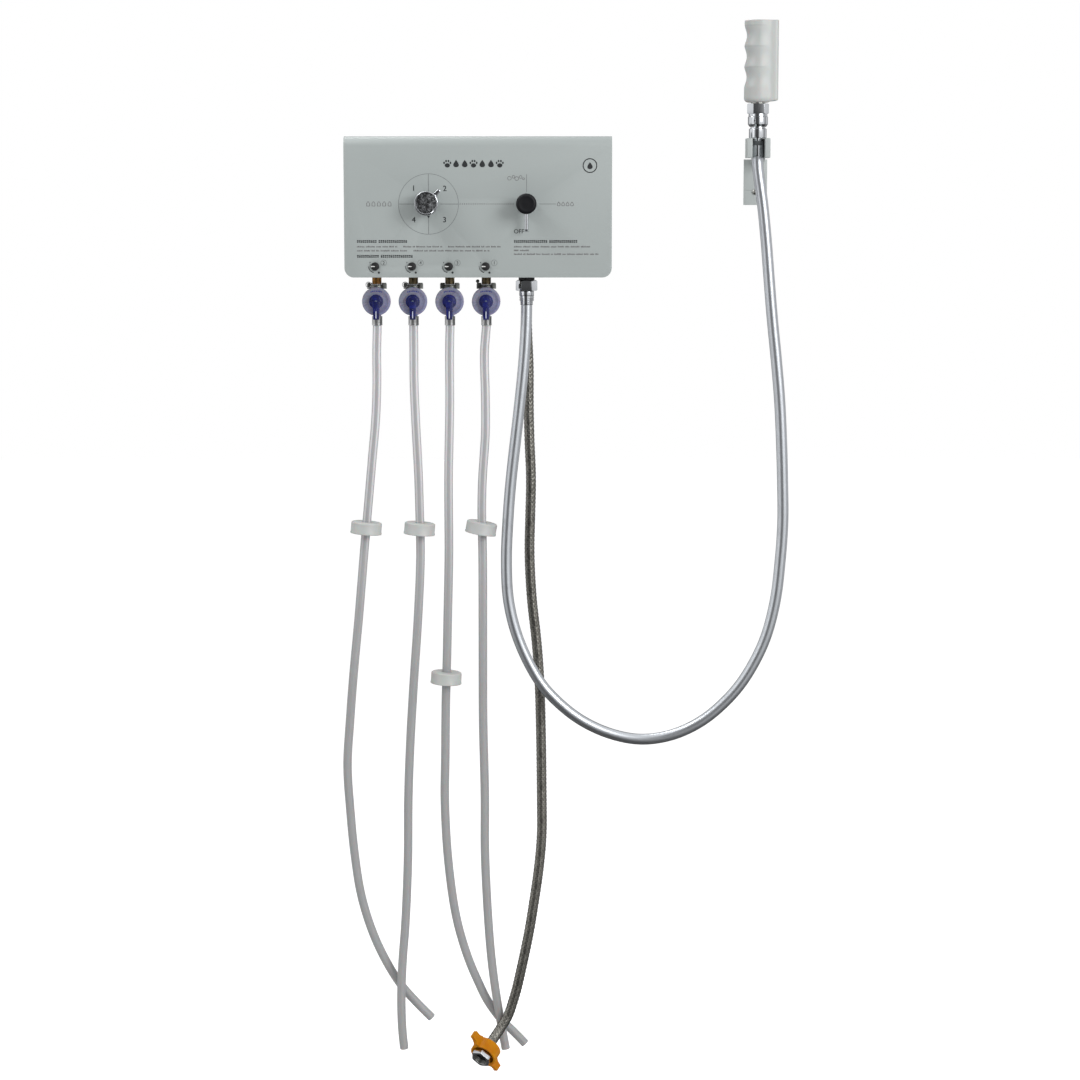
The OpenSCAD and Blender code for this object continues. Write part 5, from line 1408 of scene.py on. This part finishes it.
def dilution_screws():
    """Black slotted screws, each with a pale pointer in its slot."""
    wedge = [(-5.0, -0.78), (-0.2, -0.45), (-0.2, 0.45), (-5.0, 0.78)]
    for number, x in LINES.items():
        body = f"dilution_{number}"
        softened(f"dilution_screw_{number}", f"adjusting_screw_{number}", 0.4, "black_matte", "black_matte", body)
        mark = moved(extruded(wedge, 2.3, 2.95), facing_out(x, SCREW_Z, PANEL_Y - 0.3))
        made_piece(f"screw_mark_{number}", mark, "mark_white", "black_matte", body)


def shutoff_valves():
    """Needle stubs, link tubes, clamps, milky valves, blue levers and ribbed collars of the four lines."""
    rib = [(-0.55, -21.2), (0.55, -21.2), (0.45, -12.4), (-0.45, -12.4)]
    pin = [(0.0, 63.6), (1.5, 63.6), (1.5, 64.0), (1.1, 64.35), (0.5, 64.4), (0.5, 64.1), (0.0, 64.1)]
    stubs, seats = ([(x, LINE_Y, z) for x in LINES.values()] for z in (-96.9, -142.0))
    softened("needle_valves", "brass_stubs", 0.3, "stub_bronze", "valve_brass")
    ridges("stub_thread_rings", stubs, (5.85, 0.75, STUB_PITCH, 6), "stub_bronze", "valve_brass", sides=36)
    refinish("clear_tube", "link_tubes")
    clamps()
    for number, x in LINES.items():
        body, front, centre = f"lever_{number}", facing_out(x, VALVE_Z), [(x, LINE_Y, VALVE_Z)]
        valve = (f"shutoff_valve_{number}", f"valve_body_{number}")
        softened(*valve, 0.35, "valve_plastic", "clear_valve", centres=centre)
        lever = (f"shutoff_lever_{number}", f"blue_lever_{number}")
        softened(*lever, 0.7, "lever_plastic", "lever_blue", body, steps=3)
        # A pale bar along the lever's rib: a painted highlight
        mark = moved(extruded(rib, 65.4, 66.05), front)
        made_piece(f"lever_mark_{number}", mark, "lever_mark", "lever_blue", body)
        made_piece(f"lever_pin_{number}", moved(turned(pin, 28), front), "pin_grey", "lever_blue", body)
    softened("tube_collars", "ribbed_collars", 0.25, "collar_nylon", "collar_grey", centres=seats)


def clamps():
    """Two-ear clamps: a thin band with a pinched ear on each side, and what hangs on them."""
    strap = [(7.3, -107.0), (8.5, -107.0), (8.7, -106.7), (8.7, -99.8), (8.5, -99.5), (7.3, -99.5)]
    root = 6.4
    ear = [(root, -3.0), (11.2, -3.0), (12.1, -2.5), (12.5, -1.6), (12.5, 1.6), (12.1, 2.5), (11.2, 3.0)]
    ear += [(root, 3.0), (root, 0.7), (10.9, 0.7), (11.2, 0.4), (11.2, -0.4), (10.9, -0.7), (root, -0.7)]
    shapes = []
    for x in LINES.values():
        place = upright(x, LINE_Y)
        shapes.append(moved(turned(strap, 48, wrap=True), place))
        for side in (-1, 1):
            for low, high, share in ((-104.2, -97.6, 1.0), (-97.6, -96.6, 0.9)):
                outline = [(side * (root + (px - root) * share), py * share) for px, py in ear]
                shapes.append(moved(extruded(outline, low, high), place))
    made_piece("ear_clamps", together(*shapes), "clamp_zinc", "fixings", nodes=("tube_clamps",))
    section = [(3.4 + 0.5 * math.cos(a), 0.5 * math.sin(a)) for a in np.linspace(0, TURN, 10)[:-1]]
    wire = turned(section, 36, True)
    loops = [moved(wire, facing_out(LINES[number] - 10.4, -99.0, LINE_Y - 4.0)) for number in (2, 4)]
    made_piece("clamp_loops", together(*loops), "loop_clear", "clear_tube")
    shank = turned([(0.0, -8.0), (1.1, -8.0), (1.1, 3.0), (2.3, 3.2), (2.3, 4.6), (1.8, 5.1), (0.0, 5.2)], 24)
    shank = moved(shank, facing_out(LINES[1] - 11.0, -94.4, LINE_Y))
    made_piece("clamp_screw", shank, "clamp_zinc", "fixings")


# ---- sprayer ----


def grip_radius(height, angle):
    """Radius of the grip's round part: three scallops, deep on the fingers' side and shallow in front."""
    if not SCALLOP_Z < height < SCALLOP_Z + 3 * SCALLOP_STEP:
        return GRIP_RADIUS
    share = ((height - SCALLOP_Z) % SCALLOP_STEP) / SCALLOP_STEP * 2 - 1
    dip = looks("sprayer").dip / MM * (0.30 + 0.70 * max(0.0, -math.cos(angle)) ** 0.8)
    return GRIP_RADIUS - dip * (0.5 + 0.5 * math.cos(math.pi * share)) ** 0.72


def grip_reach(angle, radius, fillet):
    """How far the grip's outline stands from its axis: round part and flat back, with a fillet between."""
    # The flat part: half its depth, half its width, and its corners' radius
    half_x, half_y, corner = 12.25, 14.0, 4.0

    def outside(distance):
        x, y = distance * math.cos(angle), distance * math.sin(angle)
        round_part = distance - radius
        dx, dy = abs(x - half_x) - (half_x - corner), abs(y) - (half_y - corner)
        slab = math.hypot(max(dx, 0.0), max(dy, 0.0)) + min(max(dx, dy), 0.0) - corner
        share = max(fillet - abs(round_part - slab), 0.0) / fillet
        return min(round_part, slab) - share * share * fillet * 0.25

    low, high = 5.0, 34.0
    for _ in range(HALVINGS):
        middle = (low + high) / 2
        if outside(middle) > 0:
            high = middle
        else:
            low = middle
    return low


def sprayer_grip():
    """Off-white grip: round and scalloped in front, flat behind, open at the top for the spray plate."""
    fillet = looks("sprayer").fillet / MM
    sides, bottom, top, lip = 176, 131.8, 234.3, 1.2
    angles = [TURN * i / sides for i in range(sides)]

    def outline(height):
        return [grip_reach(a, grip_radius(height, a), fillet) for a in angles]

    def ring(reaches, heights):
        return [(r * math.cos(a), r * math.sin(a), h) for a, r, h in zip(angles, reaches, heights)]

    def level(radius, height):
        return ring([radius] * sides, [height] * sides)

    # The foot's edge is rounded, and turns into a lifted, tighter edge at the flat back
    base = outline(bottom + 6)
    flatness = [max(0.0, min(1.0, (r * math.cos(a) - 14.5) / 6.5)) for a, r in zip(angles, base)]
    lift = [2.4 * f * f * (3 - 2 * f) for f in flatness]
    edge = [5.0 - 3.9 * f for f in flatness]
    rings = [[(0.0, 0.0, bottom)], level(8.0, bottom)]
    for k in range(7):
        tilt = math.pi / 2 * k / 6
        reaches = [r - e * (1 - math.sin(tilt)) for r, e in zip(base, edge)]
        rings.append(ring(reaches, [bottom + up + e * (1 - math.cos(tilt)) for up, e in zip(lift, edge)]))
    height = bottom + 7.6
    while height < top - 1.4:
        rings.append(ring(outline(height), [height] * sides))
        height += 1.5
    last = outline(top - 1.3)
    for k in range(5):
        tilt = math.pi / 2 * k / 4
        reaches = [r - lip * (1 - math.cos(tilt)) for r in last]
        rings.append(ring(reaches, [top - lip + lip * math.sin(tilt)] * sides))
    for radius, depth in ((14.4, 0.0), (13.75, 0.3), (13.55, 3.3), (12.0, 3.3), (12.0, 8.0)):
        rings.append(level(radius, top - depth))
    rings.append([(0.0, 0.0, top - 8.0)])
    shell = moved(skin(rings), upright(*SPRAYER))
    made_piece("grip_shell", shell, "grip_plastic", "grip", "sprayer", ("sprayer_grip",), 50.0)


def spray_plate():
    """Perforated plate with a soft lip round every hole."""
    softened("spray_plate", "perforated_plate", 0.2, "spray_face", "spray_face", "sprayer", sharpest=50.0)
    tree = Pattern("nozzle_lips")
    step, bore = tree.size("Ring step", 4.4 * MM), tree.size("Lip radius", 1.05 * MM)
    lip = tree.hoop(bore, tree.size("Lip", 0.34 * MM), 20)
    rows = tree.node("GeometryNodeJoinGeometry")
    holes = [tree.geometry("MeshLine", Count=1)]
    holes += [tree.geometry("MeshCircle", Vertices=6 * ring, Radius=step * float(ring)) for ring in (1, 2)]
    for row in holes:
        tree.group.links.new(row.socket, rows.inputs[0])
    placed = tree.geometry("InstanceOnPoints", Points=rows.outputs[0], Instance=lip)
    whole = tree.geometry("InstanceOnPoints", Points=tree.base, Instance=placed)
    lips = tree.run(seats_mesh("nozzle_seat", [(*SPRAYER, 234.05)]), whole, "nozzle_silicone")
    settle(lips, "nozzle_lips", "nozzle_silicone", "spray_face", "sprayer")


def sprayer_coupling():
    """Hose end with its black ring, coupling barrel, swivel ring, nut and threaded water tube."""
    sleeve = [(0.0, 64.0), (7.1, 64.0), *arc(7.2, 64.5, 0.5, -90, 0, 3), (7.7, 77.6), (6.4, 77.6), (6.4, 86.8)]
    ring = [(6.2, 78.0), *arc(7.4, 78.5, 0.5, -90, 0, 3), *arc(7.4, 83.0, 0.5, 0, 90, 3), (6.2, 83.5)]
    barrel = [(0.0, 86.8), (10.4, 86.8), *arc(10.45, 87.6, 0.8, -90, 0, 4), (11.25, 97.6)]
    barrel += [*arc(10.2, 97.9, 1.05, 0, 60, 4), (9.3, 99.3), (9.25, 101.0), (7.0, 101.0), (7.0, 112.3)]
    barrel.append((0.0, 112.3))
    for name, shape, finish, slot, nodes in (
        ("hose_sleeve", turned([*sleeve, (0.0, 86.8)], 64), "chrome", "chrome", ("hose_end",)),
        ("neck_ring", turned(ring, 64, wrap=True), "ring_grey", "rubber_black", ()),
        ("coupling_sleeve", turned(barrel, 88), "chrome", "chrome", ("coupling_barrel",)),
    ):
        made_piece(name, moved(shape, upright(*SPRAYER)), finish, slot, "hose_coupling", nodes)
    softened("swivel_ring", "swivel_collar", 0.35, "chrome", "chrome", "sprayer")
    edge = looks("controls").edge / MM
    softened("sprayer_nut", "sprayer_hexagon", edge, "chrome", "chrome", "sprayer", steps=3)
    refinish("fixing_steel", "water_tube")


def holder():
    """Wall holder: its fork takes the hose's neck, its plate is screwed to the wall."""
    softened("holder", "holder_fork", 0.9, "holder_plastic", "holder", steps=3, sharpest=40.0)
    head = [(0.0, 2.0), (3.4, 2.0), (3.9, 2.6), (3.6, 3.6), (2.6, 4.3), (1.3, 4.6), (1.3, 3.9), (0.0, 3.9)]
    heads = [moved(turned(head, 32), facing_out(357.5, z, -0.8)) for z in (51.5, 19.5)]
    made_piece("holder_screw_heads", together(*heads), "fixing_steel", "fixings")


# ---- camera and light ----


def stand(name, data, location, rotation):
    """A camera or lamp at its place in the room."""
    made = bpy.data.objects.new(name, data)
    made.location, made.rotation_euler = location, rotation
    bpy.context.scene.collection.objects.link(made)
    return made


def camera():
    """Looks at the unit from the front, a little from above."""
    view = bpy.data.cameras.new("front_view")
    view.sensor_width = 36.0
    view.lens = 85.365
    view.clip_end = 60.0
    pitch_down = 7.4086
    place = (0.07874, -3.350, 0.0)
    bpy.context.scene.camera = stand("front_view", view, place, (math.radians(90 - pitch_down), 0.0, 0.0))


def lamp(name, power, size, place, aim):
    """A rectangular lamp that the camera doesn't see."""
    light = bpy.data.lights.new(name, "AREA")
    light.shape = "RECTANGLE"
    light.size, light.size_y = size
    light.energy = power
    turn = (Vector(aim) - Vector(place)).to_track_quat("-Z", "Y").to_euler()
    stand(name, light, place, turn).visible_camera = False


def floor():
    """Pale floor that stays white to the camera but keeps the shadows that fall on it."""
    drop = looks("studio").floor_drop
    mesh = bpy.data.meshes.new("studio_floor")
    half, steps = 9.0, 12
    places = [-half + 2 * half * k / steps for k in range(steps + 1)]
    row = steps + 1
    points = [(x, y, -drop) for y in places for x in places]
    corners = [j * row + i for j in range(steps) for i in range(steps)]
    mesh.from_pydata(points, [], [(c, c + 1, c + row + 1, c + row) for c in corners])
    made = Finish("studio_floor", (0.80, 0.80, 0.80), 0.9, Emission_Color=(1.0, 1.0, 1.0, 1.0))
    made.set("Base Color", made.mix(made.noise(40.0), (0.79, 0.79, 0.79), (0.82, 0.82, 0.82)))
    rays = made.node("ShaderNodeLightPath").outputs
    made.set("Emission Strength", made.math("MULTIPLY", rays["Is Camera Ray"], 0.62))
    clear = made.out("ShaderNodeBsdfTransparent")
    both = made.out("ShaderNodeMixShader", {0: rays["Is Glossy Ray"], 1: made.shader.outputs[0], 2: clear})
    made.tree.links.new(both.socket, made.outlet.inputs["Surface"])
    mesh.materials.append(made.material)
    piece = bpy.data.objects.new("studio_floor", mesh)
    bpy.context.scene.collection.objects.link(piece)


def surround():
    """Even pale light for matt surfaces; mirrors see bright sides, a dark front and a dim back."""
    world = bpy.data.worlds.new("studio_surround")
    world.use_nodes = True
    bpy.context.scene.world = world
    made = Tree(world.node_tree)
    x, y, z = made.apart(made.out("ShaderNodeTexCoord", socket="Generated"))
    share = made.math("MULTIPLY_ADD", made.math("ARCTAN2", x, y * -1.0), 1 / TURN, 0.5)
    sides = (  # degrees from the front, brightness
        (-180, 0.22), (-142, 0.28), (-118, 0.90), (-98, 0.95), (-66, 0.90), (-50, 0.45), (-36, 0.28), (-26, 0.08),
        (4, 0.08), (9, 0.40), (15, 0.95), (34, 1.00), (62, 0.92), (76, 0.52), (92, 0.36), (122, 0.78), (144, 0.28),
        (180, 0.22),
    )
    mirror = made.ramp(share, *((0.5 + angle / 360, bright) for angle, bright in sides))
    mirror = mirror * z.spread(0.10, 1.15, -0.75, 0.05, interpolation_type="SMOOTHSTEP")
    overhead = z.spread(0.0, 1.0, 0.55, 0.9, interpolation_type="SMOOTHSTEP")
    mirror = made.math("MAXIMUM", mirror, overhead)
    rays = made.node("ShaderNodeLightPath").outputs
    seen = made.math("MAXIMUM", rays["Is Camera Ray"], rays["Is Transmission Ray"])
    strength = looks("studio").surround
    light = made.out("ShaderNodeMix", {0: rays["Is Glossy Ray"], 2: strength, 3: mirror}, data_type="FLOAT")
    light = made.out("ShaderNodeMix", {0: seen, 2: light, 3: 1.0}, data_type="FLOAT")
    background = made.out("ShaderNodeBackground", {"Color": (1.0, 1.0, 1.0, 1.0), "Strength": light})
    made.node("ShaderNodeOutputWorld", {"Surface": background})


def studio():
    """Camera, lamps, surround and floor."""
    power = looks("studio")
    camera()
    bpy.context.scene.view_settings.view_transform = "Standard"
    surround()
    lamp("key_lamp", power.key, (1.3, 1.3), (1.95, -2.2, 0.85), (0.0, 0.0, -0.2))
    lamp("fill_lamp", power.fill, (1.2, 2.4), (-2.4, -1.8, 0.3), (0.0, 0.0, -0.4))
    lamp("edge_lamp", power.edge_light, (0.35, 0.2), (-0.55, -0.40, 0.62), (-0.17, -0.07, 0.09))
    lamp("top_lamp", power.top, (1.6, 0.5), (-0.6, 0.6, 1.6), (-0.2, -0.05, 0.1))
    floor()


# ---- one operator for each group of pieces ----


class BATH_OT_studio(Operator):
    """Set up the camera, the lamps, the surround and the floor"""

    bl_idname = "bath.studio"
    bl_label = "Studio"

    def execute(self, context):
        studio()
        return {"FINISHED"}


class BATH_OT_tubes(Operator):
    """Hang the four product tubes from their valves"""

    bl_idname = "bath.tubes"
    bl_label = "Product Tubes"

    def execute(self, context):
        product_tubes()
        return {"FINISHED"}


class BATH_OT_hoses(Operator):
    """Make the braided supply hose and the silver spray hose"""

    bl_idname = "bath.hoses"
    bl_label = "Hoses"

    def execute(self, context):
        braided_hose()
        spray_hose()
        return {"FINISHED"}


class BATH_OT_hose_fittings(Operator):
    """Make the nuts, collars and ferrules of both hoses"""

    bl_idname = "bath.hose_fittings"
    bl_label = "Hose Fittings"

    def execute(self, context):
        hose_fittings()
        winged_nut()
        return {"FINISHED"}


class BATH_OT_bottle_caps(Operator):
    """Set the bottle caps on their tubes"""

    bl_idname = "bath.bottle_caps"
    bl_label = "Bottle Caps"

    def execute(self, context):
        bottle_caps()
        return {"FINISHED"}


class BATH_OT_panel(Operator):
    """Make the cover with its print, and finish the chassis"""

    bl_idname = "bath.panel"
    bl_label = "Control Panel"

    def execute(self, context):
        cover()
        panel_print()
        panel_signs()
        inner_works()
        return {"FINISHED"}


class BATH_OT_controls(Operator):
    """Make the selector, the tap and the dilution screws"""

    bl_idname = "bath.controls"
    bl_label = "Controls"

    def execute(self, context):
        selector_knob()
        tap()
        dilution_screws()
        return {"FINISHED"}


class BATH_OT_valves(Operator):
    """Make the shut-off valves with their levers, clamps and collars"""

    bl_idname = "bath.valves"
    bl_label = "Shut-off Valves"

    def execute(self, context):
        shutoff_valves()
        return {"FINISHED"}


class BATH_OT_sprayer(Operator):
    """Make the grip, the spray plate and the coupling of the sprayer"""

    bl_idname = "bath.sprayer"
    bl_label = "Sprayer"

    def execute(self, context):
        sprayer_grip()
        spray_plate()
        sprayer_coupling()
        return {"FINISHED"}


class BATH_OT_holder(Operator):
    """Make the wall holder of the sprayer"""

    bl_idname = "bath.holder"
    bl_label = "Holder"

    def execute(self, context):
        holder()
        return {"FINISHED"}


class BATH_PT_unit(Panel):
    """Lists the steps that build the bath unit"""

    bl_idname = "BATH_PT_unit"
    bl_label = "Pet Bath Unit"
    bl_space_type = "VIEW_3D"
    bl_region_type = "UI"
    bl_category = "Bath Unit"

    def draw(self, context):
        for step in STEPS:
            self.layout.operator(step.bl_idname)
        for group in GROUPS:
            settings = getattr(context.scene, group)
            box = self.layout.box()
            for key in settings.__annotations__:
                box.prop(settings, key)


STEPS = (
    BATH_OT_studio,
    BATH_OT_tubes,
    BATH_OT_hoses,
    BATH_OT_hose_fittings,
    BATH_OT_bottle_caps,
    BATH_OT_panel,
    BATH_OT_controls,
    BATH_OT_valves,
    BATH_OT_sprayer,
    BATH_OT_holder,
)
GROUPS = {
    "bath_panel": PanelLooks,
    "bath_controls": ControlLooks,
    "bath_hoses": HoseLooks,
    "bath_sprayer": SprayerLooks,
    "bath_studio": StudioLooks,
}


def register():
    for group in GROUPS.values():
        bpy.utils.register_class(group)
    for name, group in GROUPS.items():
        setattr(bpy.types.Scene, name, PointerProperty(type=group))
    for step in (*STEPS, BATH_PT_unit):
        bpy.utils.register_class(step)


def unregister():
    for step in (BATH_PT_unit, *reversed(STEPS)):
        bpy.utils.unregister_class(step)
    for name in GROUPS:
        delattr(bpy.types.Scene, name)
    for group in GROUPS.values():
        bpy.utils.unregister_class(group)


def main():
    register()
    for step in STEPS:
        group, name = step.bl_idname.split(".")
        getattr(getattr(bpy.ops, group), name)()


if __name__ == "__main__":
    main()
